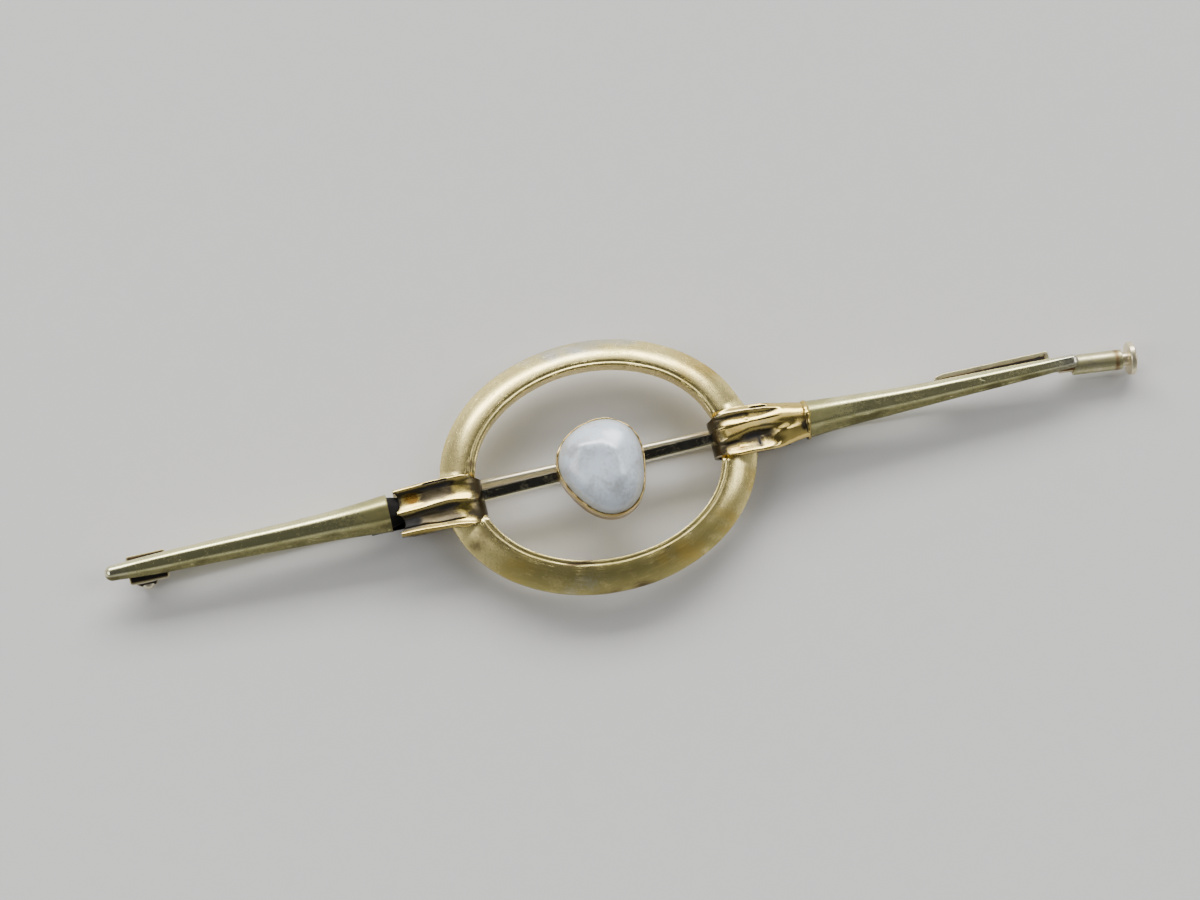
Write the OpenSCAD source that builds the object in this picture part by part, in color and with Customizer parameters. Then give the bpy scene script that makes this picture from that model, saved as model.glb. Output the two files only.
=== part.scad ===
// Pearl brooch: two tapering arms, an oval ring clasped by two fluted collars, and a baroque pearl
// in a collet on the bar between them. A pin on a riveted joint closes into a sliding catch behind.
// X runs along the brooch to the catch, Y up across its face, Z out of its face.
// It lies on its back, and the floor is at Z = 0.

/* [Oval ring] */
// Half of the ring's length along the brooch
ring_half_length = 9.39; // [9.33:0.03:9.51]
// Radius of the ring's outline at its two ends
ring_end_radius = 6.6; // [6.54:0.03:6.72]
// Width of the ring's band
band_width = 1.97; // [1.8:0.01:2.1]
// Radius of the band's domed front
band_dome_radius = 1.12; // [1.05:0.01:1.3]
// Height of the band's domed front above the middle plane
band_front = 0.87; // [0.8:0.01:0.95]
// Depth of the band's flat back behind the middle plane
band_back = 0.65; // [0.55:0.01:0.65]
// Chamfer along both edges of the band's back
band_chamfer = 0.24; // [0.1:0.01:0.3]

/* [Arms] */
// Where both arms' wide ends stand
arm_root = 12.55; // [12.4:0.05:12.8]
// Where both arms' tips end
arm_tip = 29.3; // [28.5:0.1:30]
// Radius of the flared lip round each arm's wide end
arm_lip_radius = 1.14; // [1.06:0.01:1.2]
// Length of the flare behind that lip
arm_lip_length = 1.2; // [0.4:0.1:1.5]
// Where the arms' taper changes first
arm_middle = 20.2; // [18:0.1:22]
// Where it changes again, before the tip
arm_neck = 26; // [25:0.1:27]
// Radius of the left arm behind its flare
left_root_radius = 1.02; // [0.9:0.01:1.05]
// Radius of the left arm at its middle
left_middle_radius = 0.8; // [0.7:0.01:0.85]
// Radius of the left arm at its neck
left_neck_radius = 0.66; // [0.55:0.01:0.68]
// Radius of the left arm at its tip
left_tip_radius = 0.45; // [0.4:0.01:0.5]
// Radius of the right arm behind its flare
right_root_radius = 0.93; // [0.9:0.01:1.05]
// Radius of the right arm at its middle
right_middle_radius = 0.62; // [0.6:0.01:0.8]
// Radius of the right arm at its neck
right_neck_radius = 0.5; // [0.48:0.01:0.58]
// Radius of the right arm at its tip
right_tip_radius = 0.38; // [0.36:0.01:0.45]

/* [Collars] */
// Half of the width of a collar across its flutes
collar_half_width = 1.36; // [1.25:0.01:1.4]
// Crest of the collars' ridges above the middle plane
collar_crest = 1.27; // [1.2:0.01:1.35]
// Where a collar's inner bend ends, inside the ring
collar_inner_end = 6.93; // [6.85:0.01:7]
// Where the left collar's open end stands
collar_open_end = 12.1; // [11.9:0.05:12.2]
// Radius of a flute
flute_radius = 0.62; // [0.58:0.01:0.66]
// Depth of a flute below the ridges
flute_depth = 0.24; // [0.15:0.01:0.26]
// Height of the left collar's middle across the brooch
left_collar_middle = -0.31; // [-0.4:0.01:0]
// Height of the right collar's middle across the brooch
right_collar_middle = 0.1; // [0:0.01:0.2]

/* [Front bar and collet] */
// Width and depth of the front bar
bar_size = 0.68; // [0.6:0.01:0.8]
// Height of the front bar's middle across the brooch
bar_height = -0.16; // [-0.2:0.01:0]
// Slope of the front bar
bar_slope = 1.4; // [1:0.1:2]
// Slope of the left collar
left_collar_slope = 1; // [0:0.1:1.5]
// Mean radius of the collet's outline
collet_radius = 2.76; // [2.5:0.01:2.9]
// Share by which the collet's outline is longer than wide
collet_long_share = 0.068; // [0:0.001:0.1]
// Share by which its outline swells into three corners
collet_corner_share = 0.058; // [0:0.001:0.08]
// Thickness of the collet's wall
collet_wall = 0.16; // [0.12:0.01:0.25]
// Height of the collet's rim above the middle plane
collet_rim = 1.6; // [1.4:0.05:1.8]
// Height of the pearl's crown above the middle plane
pearl_crown = 3.15; // [2.8:0.05:3.4]

/* [Pin and hinge] */
// Distance of the rivet from the ring's centre
rivet_distance = 27.05; // [26.5:0.05:27.5]
// Radius of the rivet
rivet_radius = 0.2; // [0.15:0.01:0.25]
// Radius of the ears' round ends
ear_radius = 0.55; // [0.5:0.01:0.6]
// Thickness of an ear
ear_thickness = 0.3; // [0.25:0.01:0.35]
// Radius of the pin stem along its straight middle
stem_radius = 0.28; // [0.24:0.01:0.3]
// Half of the length of the stem's straight middle
stem_half_middle = 6.5; // [6:0.1:7]
// Height of the stem's middle across the brooch
stem_rise = 0.66; // [0.5:0.01:0.75]
// Radius of the stem where it enters the catch
stem_point_radius = 0.12; // [0.1:0.01:0.14]

/* [Catch] */
// Radius of the fixed catch tube
tube_radius = 0.6; // [0.58:0.01:0.62]
// Length of the fixed catch tube
tube_length = 4; // [3.8:0.1:4.2]
// Where the fixed catch tube's outer end stands
tube_end = 31.8; // [31.5:0.1:32]
// Height of that end across the brooch
tube_end_height = -0.35; // [-0.4:0.01:-0.3]
// Length that the tube's mouth runs on past that end, towards the slider's head
tube_mouth = 0.25; // [0.2:0.01:0.28]
// Skew of the catch tube against the arm
tube_skew = 5.5; // [4:0.1:7]
// Radius of the slider's inner tube
slider_radius = 0.4; // [0.38:0.01:0.42]
// Radius of the slider's head
head_radius = 1; // [0.95:0.01:1.05]
// Distance of the slider's head from the tube's end when it is closed
neck_length = 0.6; // [0.55:0.01:0.65]

/* [Hidden] */
$fn = 64;
eps = 0.02;          // how far soldered pieces run into each other
gap = 0.05;          // gap round what is clasped or set and not soldered
running = 0.03;      // running clearance on a radius
far = 60;            // longer than anything here

// The oval is four tangent arcs, whose centres stand at the corners of 3-4-5 triangles
end_centre = ring_half_length - ring_end_radius;
side_centre = end_centre * 4 / 3;
ring_side_radius = ring_end_radius + end_centre * 5 / 3;
end_half_angle = atan2(4, 3);
seam_angle = 0.2;            // each arc stops this short of a seam's middle
seam_length = 0.16;
seam_height = 0.01;
lip_groove_radius = 0.09;
lip_groove_in = 0.38;        // the groove's distance from the band's inner edge

// Each flat of an arm: the turn of its face from the front, and its depth as a share of the radius.
// They are the flat back, the facet along the lower side and the flatter front above it.
arm_flats = [[180, 0.7], [-50, 0.9], [-6, 0.94]];

strap_back = 0.98;           // depth of the collars' back strap
strap_thickness = 0.38;
tongue_half_width = 0.75;    // the back strap runs on under the arm as a narrower tongue
tongue_end = arm_root + 1.3;
wrap_depth = 0.12;           // the wrap's centre behind the middle plane
wrap_radius = collar_crest + wrap_depth;
wrap_centre = collar_inner_end + wrap_radius;
wrap_thickness = 0.68;
wrap_start_angle = 47;       // the wrap runs from over the ring's outer edge
wrap_end_angle = 217;        // to behind its inner edge
leg_crest = 1.02;            // crest of the ridges between the wrap and the arm
scallop_radius = 0.45;       // the flutes end in scallops at the open end
dome_start = 10.1;           // the right collar's dome, over the arm's end
dome_peak = 11.2;
dome_radius = 1.22;
shoulder_start = 8.6;        // a larger dome that turns the right collar's corners down
shoulder_radius = 1.78;
shoulder_end = 11.6;         // where the flutes have run out into the dome
dome_end_radius = 0.8;
solder_ring_radius = 0.13;

collet_centre = [0.15, -0.35];
collet_long_angle = -82;     // direction of the outline's long axis
collet_corner_angle = 43;    // direction of its first corner
collet_floor = 0.5;
collet_bottom = 0.05;
pearl_seat = 0.1;            // gap between the pearl and the collet's floor
outline_steps = 48;
pearl_rings = 18;

back_plane = 0.3;            // where the plates of the hinge and the catch lie against the arms
plate_back = 0.62;
ear_top = 0.79;              // outer faces of the two ears
ear_bottom = -0.9;
rivet_depth = 1.35;
rivet_head_radius = 0.34;
rivet_head_height = 0.26;
joint_plate_start = 28;
joint_plate_end = 25.7;
stem_depth = 1.5;            // depth of the stem's straight middle
stem_root_radius = 0.32;
stem_bead = 0.02;            // the stem is a little thicker where it bends
stem_bead_half = 0.1;        // half of the length of that bead
barrel_radius = 0.47;

catch_plate_start = 20.6;
catch_plate_end = 27.7;
catch_plate_top = 1.0;
catch_plate_bottom = -0.35;
tube_depth = 0.9;
tube_bore = 0.43;
tube_closed_length = 2.4;    // the rest of the tube is open behind, where the pin leaves it
slider_bore = 0.27;
sleeve_length = 3.6;
head_thickness = 0.6;
head_dome = 0.25;
point_distance = 2.6;        // the pin's point, inside the tube's outer end

floor_depth = max(rivet_depth + ear_radius, tube_depth + head_radius);
head_dome_radius = (head_radius * head_radius + head_dome * head_dome) / (2 * head_dome);
reach_right = tube_end + (neck_length + head_thickness - head_dome_radius) * cos(tube_skew)
    + head_dome_radius;
centre_shift = (reach_right - arm_tip) / 2;

// Stands the brooch on its back, with the middle of its box over the origin
module on_its_back() {
    translate([-centre_shift, 0, floor_depth]) children();
}

// A rod between two points, whose radius changes evenly
module rod(from, to, r_from, r_to) {
    d = to - from;
    turn = atan2(d[1], d[0]);
    tilt = atan2(norm([d[0], d[1]]), d[2]);
    translate(from) rotate([0, tilt, turn]) cylinder(h = norm(d), r1 = r_from, r2 = r_to);
}

// The catch tube's own frame: X runs out along the tube from its outer end
module along_catch() {
    translate([tube_end, tube_end_height, -tube_depth]) rotate([0, 0, -tube_skew]) children();
}

// The axis point of the catch tube at a distance inside its outer end
function in_catch(distance) = [
    tube_end - distance * cos(tube_skew),
    tube_end_height + distance * sin(tube_skew),
    -tube_depth
];

// Sweeps a section round the oval. The section's X = 0 is the oval's outer edge.
module round_the_oval() {
    for (side = [0, 180]) rotate([0, 0, side]) {
        translate([end_centre, 0, 0]) arc_about(ring_end_radius, -end_half_angle, end_half_angle)
            children();
        translate([0, -side_centre, 0])
            arc_about(ring_side_radius, end_half_angle, 180 - end_half_angle) children();
    }
}

// One arc of the oval, short of its neighbours by the width that a seam covers
module arc_about(radius, from, to) {
    rotate([0, 0, from + seam_angle]) rotate_extrude(angle = to - from - 2 * seam_angle, $fn = 128)
        translate([radius, 0]) children();
}

// The thin solder seams where the four arcs of the oval meet
module oval_seams() {
    for (turn = [-1, 1], side = [0, 180]) rotate([0, 0, side]) translate([end_centre, 0, 0])
        rotate([0, 0, turn * end_half_angle]) translate([ring_end_radius, 0, 0]) rotate([90, 0, 0])
            linear_extrude(seam_length, center = true) band_section(seam_height);
}

// Section of the ring's band, swollen by grow for the clearance that the collars leave
module band_section(grow) {
    centre = band_front - band_dome_radius;
    inner = -band_width - grow;
    back = -band_back - grow;
    intersection() {
        translate([-band_width / 2, centre]) circle(r = band_dome_radius + grow);
        polygon([
            [inner, band_front + 1],
            [inner, back + band_chamfer],
            [inner + band_chamfer, back],
            [grow - band_chamfer, back],
            [grow, back + band_chamfer],
            [grow, band_front + 1]
        ]);
    }
}

module oval_ring() {
    groove_x = -band_width + lip_groove_in;
    groove_rise = sqrt(pow(band_dome_radius, 2) - pow(groove_x + band_width / 2, 2));
    color([0.79, 0.68, 0.45]) on_its_back() {
        round_the_oval() difference() {
            band_section(0);
            translate([groove_x, band_front - band_dome_radius + groove_rise + lip_groove_radius / 3])
                circle(r = lip_groove_radius);
        }
        oval_seams();
    }
}

// One arm from its radii at the lip, behind the flare, at the middle, at the neck and at the tip
module arm(radii) {
    places = [arm_root, arm_root + arm_lip_length, arm_middle, arm_neck, arm_tip - radii[4]];
    for (i = [0 : 3]) {
        taper = (radii[i] - radii[i + 1]) / (places[i + 1] - places[i]);
        flattened(places[i] + radii[i] / taper, taper) {
            rod([places[i], 0, 0], [places[i + 1], 0, 0], radii[i], radii[i + 1]);
            if (i == 3) translate([places[4], 0, 0]) sphere(r = radii[4]);
        }
    }
}

// Cuts an arm's flats from a stretch of it that tapers to an apex
module flattened(apex, taper) {
    difference() {
        union() children();
        for (flat = arm_flats) flat_to_apex(apex, taper * flat[1], flat[0]);
    }
}

// What lies past a plane that leans with the cone's taper and passes through its apex.
// A turn of 0 faces the front, and a negative turn faces down the brooch's front.
module flat_to_apex(apex, slope, turn) {
    translate([apex, 0, 0]) rotate([-turn, 0, 0]) rotate([0, atan(slope), 0])
        translate([-far, -far / 2, 0]) cube([far, far, far / 2]);
}

// Section of the fluted strap: X is depth from the crest inwards, Y lies across the collar
module strap_section(thickness) {
    difference() {
        translate([-thickness, -collar_half_width]) square([thickness, 2 * collar_half_width]);
        for (side = [-1, 1])
            translate([flute_radius - flute_depth, side * flute_radius]) circle(r = flute_radius);
    }
}

// The strap's round wrap over the ring's band and round its inner edge
module collar_wrap() {
    translate([wrap_centre, 0, -wrap_depth]) rotate([90, 0, 0]) rotate([0, 0, wrap_start_angle])
        rotate_extrude(angle = wrap_end_angle - wrap_start_angle)
            translate([wrap_radius, 0]) strap_section(wrap_thickness);
}

// The straight fluted leg between the wrap and the arm
module collar_leg(end) {
    translate([wrap_centre, 0, leg_crest]) rotate([90, 0, 90])
        linear_extrude(end - wrap_centre) rotate([0, 0, 90]) strap_section(strap_thickness);
}

// The plain strap behind the ring, run on under the arm that it carries
module collar_back(end) {
    start = wrap_centre + wrap_radius * cos(wrap_end_angle);
    depth = strap_back - band_back + eps;
    translate([start, -collar_half_width, -strap_back])
        cube([end - start, 2 * collar_half_width, depth]);
    translate([start, -tongue_half_width, -strap_back])
        cube([tongue_end - start, 2 * tongue_half_width, depth]);
}

// The two side walls that close a collar between its front and its back
module collar_sides(end) {
    wall = 0.26;
    for (side = [-1, 1])
        translate([wrap_centre, side * (collar_half_width - wall / 2) - wall / 2, -strap_back])
            cube([end - wrap_centre, wall, strap_back + leg_crest - flute_depth]);
}

// A collar, cut clear of the ring that it clasps
module clasped() {
    difference() {
        children();
        round_the_oval() band_section(gap);
    }
}

// The left collar, drawn towards +X: its flutes end open, in scallops
module left_collar() {
    translate([wrap_centre, left_collar_middle, 0]) rotate([0, 0, -left_collar_slope])
        translate([-wrap_centre, 0, 0]) difference() {
            union() {
                collar_wrap();
                collar_leg(collar_open_end);
                collar_sides(collar_open_end - gap);
                collar_back(collar_open_end - scallop_radius);
            }
            for (side = [-1, 1])
                translate([collar_open_end + gap, side * flute_radius, 0])
                    cylinder(r = scallop_radius, h = 2 * collar_crest);
        }
}

// The right collar: a dome takes up its ridges and ends in a ring of solder round the arm's end
module right_collar() {
    translate([0, right_collar_middle, 0]) {
        collar_wrap();
        intersection() {
            union() {
                collar_leg(shoulder_end);
                collar_sides(shoulder_end);
                collar_back(shoulder_end);
            }
            barrel(shoulder_start, shoulder_start, shoulder_radius);
        }
        difference() {
            barrel(dome_start, dome_peak, dome_radius);
            translate([0, -far / 2, -far - strap_back]) cube(far);
        }
        translate([arm_root, 0, 0]) rotate([0, 90, 0]) rotate_extrude()
            translate([dome_end_radius, 0]) circle(r = solder_ring_radius);
    }
}

// A round barrel along X that is widest at its peak and draws in to the arm's end
module barrel(start, peak, radius) {
    run = arm_root - peak;
    drop = radius - dome_end_radius;
    bulge = (run * run + drop * drop) / (2 * drop);
    translate([start, 0, 0]) rotate([0, 90, 0]) rotate_extrude() intersection() {
        translate([radius - bulge, peak - start]) circle(r = bulge, $fn = 128);
        square([radius, arm_root - start + eps]);
    }
}

// The bar between the two collars, with a small run of solder beside the collet
module front_bar() {
    half = collar_inner_end + 0.1;
    round = 0.1;
    translate([0, bar_height, 0]) rotate([0, 0, bar_slope]) {
        translate([-half, 0, 0]) rotate([90, 0, 90]) linear_extrude(2 * half) {
            square([bar_size, bar_size - 2 * round], center = true);
            square([bar_size - 2 * round, bar_size], center = true);
            for (y = [-1, 1], z = [-1, 1])
                translate([y, z] * (bar_size / 2 - round)) circle(r = round);
        }
        rod([collet_radius - 0.3, 0, 0], [collet_radius + 0.9, 0, 0], bar_size * 0.66, bar_size / 2);
    }
}

// The radius of the collet's outline: a circle, drawn out along one axis and into three corners
function outline_radius(angle) = collet_radius * (1
    + collet_long_share * cos(2 * (angle - collet_long_angle))
    + collet_corner_share * cos(3 * (angle - collet_corner_angle)));

// The outline moved inwards by an even distance, near enough for a wall
function outline_point(angle, inwards) =
    collet_centre + (outline_radius(angle) - inwards) * [cos(angle), sin(angle)];

module outline(inwards) {
    polygon([for (i = [0 : outline_steps - 1]) outline_point(i * 360 / outline_steps, inwards)]);
}

module collet() {
    difference() {
        translate([0, 0, collet_bottom]) linear_extrude(collet_rim - collet_bottom) outline(0);
        translate([0, 0, collet_floor]) linear_extrude(collet_rim) outline(collet_wall);
    }
}

// The plate and the two ears that carry the pin's rivet, drawn towards +X
module hinge_joint() {
    difference() {
        union() {
            translate([joint_plate_end, ear_bottom, -plate_back])
                cube([joint_plate_start - joint_plate_end, ear_top - ear_bottom, plate_back - back_plane]);
            for (low = [ear_bottom, ear_top - ear_thickness]) hinge_ear(low);
        }
        translate([rivet_distance, 0, -rivet_depth]) rotate([90, 0, 0])
            cylinder(r = rivet_radius + running, h = far, center = true);
    }
}

// One ear: its outline narrows from the plate to a round end about the rivet
module hinge_ear(low) {
    translate([rivet_distance, low + ear_thickness, -rivet_depth]) rotate([90, 0, 0])
        linear_extrude(ear_thickness) {
            circle(r = ear_radius);
            translate([-ear_radius, 0]) square([2 * ear_radius, rivet_depth - plate_back + eps]);
        }
}

module catch_plate() {
    translate([catch_plate_start, catch_plate_bottom, -plate_back])
        cube([catch_plate_end - catch_plate_start, catch_plate_top - catch_plate_bottom,
            plate_back - back_plane]);
}

// The fixed tube of the catch. Its inner stretch is open behind, so the pin can leave it.
module catch_tube() {
    open_length = tube_length - tube_closed_length;
    along_catch() difference() {
        union() {
            rod([-tube_length, 0, 0], [tube_mouth, 0, 0], tube_radius, tube_radius);
            translate([-tube_length, -0.3, 0]) cube([1.4, 0.6, tube_depth - back_plane + 0.1]);
        }
        rod([-tube_length - 1, 0, 0], [1, 0, 0], tube_bore, tube_bore);
        translate([-tube_length - 1, -tube_radius - 1, -2 * tube_radius])
            cube([open_length + 1, 2 * tube_radius + 2, 2 * tube_radius]);
    }
}

module soldered_frame() {
    color([0.76, 0.66, 0.42]) on_its_back() {
        clasped() {
            mirror([1, 0, 0]) left_collar();
            right_collar();
        }
        mirror([1, 0, 0])
            arm([arm_lip_radius, left_root_radius, left_middle_radius, left_neck_radius, left_tip_radius]);
        arm([arm_lip_radius, right_root_radius, right_middle_radius, right_neck_radius, right_tip_radius]);
        front_bar();
        collet();
        mirror([1, 0, 0]) hinge_joint();
        catch_plate();
        catch_tube();
    }
}

// The pearl's radius at a height, as a share of the outline's: a blunt dome over a rounded seat
function dome_share(t) = pow(cos(t), 0.8);

// Low swellings of the pearl's skin, in shares of its height
function swelling(angle, t) = 0.05 * cos(2 * angle - 70) * sin(2 * t) + 0.04 * cos(3 * angle + 40) * sin(t);

function pearl_point(angle, t) =
    let (
        low = collet_floor + pearl_seat,
        waist = collet_rim - 0.1,
        height = t < 0 ? waist + (waist - low) * sin(t) : waist + (pearl_crown - waist) * sin(t),
        reach = outline_radius(angle) - collet_wall - gap,
        out = reach * dome_share(t) * (t > 0 ? 1 + swelling(angle, t) : 1)
    )
    [collet_centre[0] + out * cos(angle), collet_centre[1] + out * sin(angle), height];

module pearl() {
    steps = 36;
    levels = [for (i = [1 : pearl_rings - 1]) -90 + 180 * i / pearl_rings];
    points = concat(
        [for (t = levels, i = [0 : steps - 1]) pearl_point(i * 360 / steps, t)],
        [pearl_point(0, -90), pearl_point(0, 90)]
    );
    count = len(levels);
    foot = count * steps;
    faces = concat(
        [for (k = [0 : count - 2], i = [0 : steps - 1])
            [k * steps + i, (k + 1) * steps + i, (k + 1) * steps + (i + 1) % steps]],
        [for (k = [0 : count - 2], i = [0 : steps - 1])
            [k * steps + i, (k + 1) * steps + (i + 1) % steps, k * steps + (i + 1) % steps]],
        [for (i = [0 : steps - 1]) [foot, i, (i + 1) % steps]],
        [for (i = [0 : steps - 1])
            [foot + 1, (count - 1) * steps + (i + 1) % steps, (count - 1) * steps + i]]
    );
    color([0.84, 0.85, 0.87]) on_its_back() polyhedron(points, faces);
}

module hinge_rivet() {
    cap = rivet_head_height;
    cap_radius = (rivet_head_radius * rivet_head_radius + cap * cap) / (2 * cap);
    color([0.85, 0.76, 0.55]) on_its_back() translate([-rivet_distance, 0, -rivet_depth])
        rotate([90, 0, 0]) {
            translate([0, 0, -ear_top])
                cylinder(r = rivet_radius, h = ear_top - ear_bottom + running + eps);
            translate([0, 0, -ear_bottom + running]) intersection() {
                translate([0, 0, cap - cap_radius]) sphere(r = cap_radius);
                cylinder(r = rivet_head_radius, h = cap);
            }
        }
}

// A straight stretch of the stem, and the short bead at its far end, which lies halfway between
// its own direction and that of the stretch to the next point
module stretch(from, to, next, r_from, r_to) {
    along = (to - from) / norm(to - from);
    halfway = (along + (next - to) / norm(next - to)) / 2;
    rod(from + along * stem_bead, to - along * stem_bead, r_from, r_to);
    rod(to - halfway * stem_bead_half, to + halfway * stem_bead_half, r_to + stem_bead, r_to + stem_bead);
}

module pin_stem() {
    hinge = [-rivet_distance, 0, -rivet_depth];
    points = [
        hinge,
        [-stem_half_middle, stem_rise, -stem_depth],
        [stem_half_middle, stem_rise, -stem_depth],
        in_catch(point_distance + 0.9),
        in_catch(point_distance)
    ];
    radii = [stem_root_radius, stem_radius, stem_radius, stem_point_radius, stem_point_radius / 3];
    barrel_low = ear_bottom + ear_thickness + gap;
    barrel_high = ear_top - ear_thickness - gap;
    color([0.80, 0.72, 0.52]) on_its_back() difference() {
        union() {
            translate([-rivet_distance, barrel_high, -rivet_depth]) rotate([90, 0, 0])
                cylinder(r = barrel_radius, h = barrel_high - barrel_low);
            for (i = [0 : 2]) stretch(points[i], points[i + 1], points[i + 2], radii[i], radii[i + 1]);
            rod(points[3], points[4], radii[3], radii[4]);
        }
        translate(hinge) rotate([90, 0, 0])
            cylinder(r = rivet_radius + running, h = far, center = true);
    }
}

// The inner tube that closes over the pin's point, with its neck and its domed head
module catch_slider() {
    head_out = neck_length + head_thickness;
    color([0.82, 0.72, 0.48]) on_its_back() along_catch() difference() {
        union() {
            rod([-sleeve_length, 0, 0], [neck_length + eps, 0, 0], slider_radius, slider_radius);
            intersection() {
                rod([neck_length, 0, 0], [head_out, 0, 0], head_radius, head_radius);
                translate([head_out - head_dome_radius, 0, 0]) sphere(r = head_dome_radius, $fn = 128);
            }
        }
        rod([-sleeve_length - 1, 0, 0], [-0.5, 0, 0], slider_bore, slider_bore);
    }
}

soldered_frame();
oval_ring();
pearl();
hinge_rivet();
pin_stem();
catch_slider();
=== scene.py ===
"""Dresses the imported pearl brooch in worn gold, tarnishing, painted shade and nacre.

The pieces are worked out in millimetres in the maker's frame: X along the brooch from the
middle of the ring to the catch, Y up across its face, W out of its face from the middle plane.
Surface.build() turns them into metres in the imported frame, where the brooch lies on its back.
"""

import logging
import math
from dataclasses import dataclass
from enum import Enum
from typing import Any, Optional, Union

import bpy
import numpy as np
from mathutils import Matrix, Vector

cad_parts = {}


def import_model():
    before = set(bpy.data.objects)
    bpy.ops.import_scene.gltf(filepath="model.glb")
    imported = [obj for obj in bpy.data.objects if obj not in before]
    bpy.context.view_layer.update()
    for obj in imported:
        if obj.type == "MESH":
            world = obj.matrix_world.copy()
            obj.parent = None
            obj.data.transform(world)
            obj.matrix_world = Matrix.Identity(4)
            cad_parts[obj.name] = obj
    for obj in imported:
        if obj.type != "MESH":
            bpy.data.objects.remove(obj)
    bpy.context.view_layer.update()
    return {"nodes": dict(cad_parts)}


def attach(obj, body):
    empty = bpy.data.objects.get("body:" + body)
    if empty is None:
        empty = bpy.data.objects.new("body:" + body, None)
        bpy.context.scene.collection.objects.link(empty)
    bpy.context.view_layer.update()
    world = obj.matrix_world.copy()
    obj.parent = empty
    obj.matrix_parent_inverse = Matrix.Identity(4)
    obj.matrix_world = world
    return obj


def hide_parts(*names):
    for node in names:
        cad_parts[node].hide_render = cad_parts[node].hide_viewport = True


Array = np.ndarray
Colour = tuple[float, float, float]
Places = tuple[float, ...]
# A soft oval on the face: its X and Y, its reach along both, and its strength or its height
Patch = tuple[float, float, float, float, float]
LOG = logging.getLogger("brooch")

MM = 0.001
CENTRE_SHIFT = 1.85213
FLOOR_DEPTH = 1.9
PLATE_DEPTHS = (-0.62, -0.3)
BODY = "brooch_body"
UV_NAME = "surface_mm"


class Slot(Enum):
    """The record's material slots, which the new pieces' builds are handed."""

    FRAME = "frame_gold"
    SLIDER = "slider_gold"
    RING = "ring_gold"
    PEARL = "pearl"


class Mark(Enum):
    """What a piece's points carry for its finish."""

    # The tarnish mark carries painted shade as well as grime: gaps, bores, recesses and undersides
    # are marked dark.
    TARNISH_AND_SHADE = "tarnish"
    HUE = "hue"
    PATINA = "patina"


class Side(Enum):
    """The two ends of the brooch, as the sign of X."""

    HINGE = -1
    CATCH = 1


def ease(value: Array, low: float, high: float) -> Array:
    """Rises smoothly from 0 at low to 1 at high: 3t^2 - 2t^3 with t the clamped share."""
    t = np.clip((value - low) / (high - low), 0.0, 1.0)
    return t * t * (3 - 2 * t)


def hump(value: Array, middle: Union[float, Array], width: float) -> Array:
    """A bell of height 1: exp(-((value - middle) / width)^2)."""
    return np.exp(-(((value - middle) / width) ** 2))


def span(value: Array, low: float, high: float, soft: float = 0.15) -> Array:
    """1 between low and high and 0 outside, with soft ends."""
    return ease(value, low - soft, low + soft) * (1 - ease(value, high - soft, high + soft))


def follow(value: Array, places: Places, heights: Places) -> Array:
    """A smooth curve through the given heights, level beyond both ends.

    The straight line through the heights is blurred: the mean of nine of its values, taken
    across a twelfth of the whole run.

    Args:
        value: where the curve is wanted.
        places: rising places of the given heights.
        heights: the heights there.

    Returns:
        The curve's heights.
    """
    reach = (places[-1] - places[0]) / 24
    shifts = np.linspace(-reach, reach, 9)
    return sum(np.interp(value + shift, places, heights) for shift in shifts) / len(shifts)


def ripple(points: Array, pitch: float, seed: int) -> Array:
    """Smooth uneven swellings: a sum of nine sine waves of random direction, about -1 to 1.

    Args:
        points: places in millimetres, with X, Y, W on the last axis.
        pitch: mean distance between two swellings.
        seed: which set of waves.

    Returns:
        One height for each place.
    """
    rng = np.random.default_rng(seed)
    count = 9
    ways = rng.normal(size=(count, 3))
    ways /= np.linalg.norm(ways, axis=1, keepdims=True)
    ways *= (2 * math.pi / pitch) * rng.uniform(0.6, 1.5, (count, 1))
    phases = rng.uniform(0, 2 * math.pi, count)
    return np.sin(points @ ways.T + phases).sum(axis=-1) / (0.5 * count)


def off_line(points: Array, line: Places) -> Array:
    """Distances across the face to the nearest stretch of a line of X, Y pairs.

    Args:
        points: places in millimetres, with X, Y, W on the last axis.
        line: the line's corners, X and Y by turns.

    Returns:
        One distance for each place.
    """
    corners = np.asarray(line, float).reshape(-1, 2)
    near = np.full(points.shape[:-1], 99.0)
    for start, end in zip(corners[:-1], corners[1:]):
        run = end - start
        off = points[..., :2] - start
        share = np.clip((off @ run) / (run @ run), 0, 1)
        near = np.minimum(near, np.linalg.norm(off - share[..., None] * run, axis=-1))
    return near


def oval(points: Array, patch: Patch) -> Array:
    """One soft oval: its strength times a bell along X and a bell along Y."""
    x, y, x_reach, y_reach, strength = patch
    return strength * hump(points[..., 0], x, x_reach) * hump(points[..., 1], y, y_reach)


def patches(points: Array, marks: tuple[Patch, ...]) -> Array:
    """The sum of soft ovals, with edges made uneven by a ripple."""
    total = sum(oval(points, mark) for mark in marks)
    return total * (1 + 0.45 * ripple(points, 1.3, 5))


def full_turn(count: int) -> Array:
    """Angles once round, in even steps."""
    return np.linspace(0, 2 * math.pi, count, endpoint=False)


def lengths(line: Array) -> Array:
    """How far along a line each of its points lies."""
    return np.r_[0, np.cumsum(np.linalg.norm(np.diff(line, axis=0), axis=1))]


def read_off(line: Array, places: Array, at: Array) -> Array:
    """A plane line with one place for each point, read off at other places."""
    return np.stack([np.interp(at, places, line[:, k]) for k in range(2)], axis=1)


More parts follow.
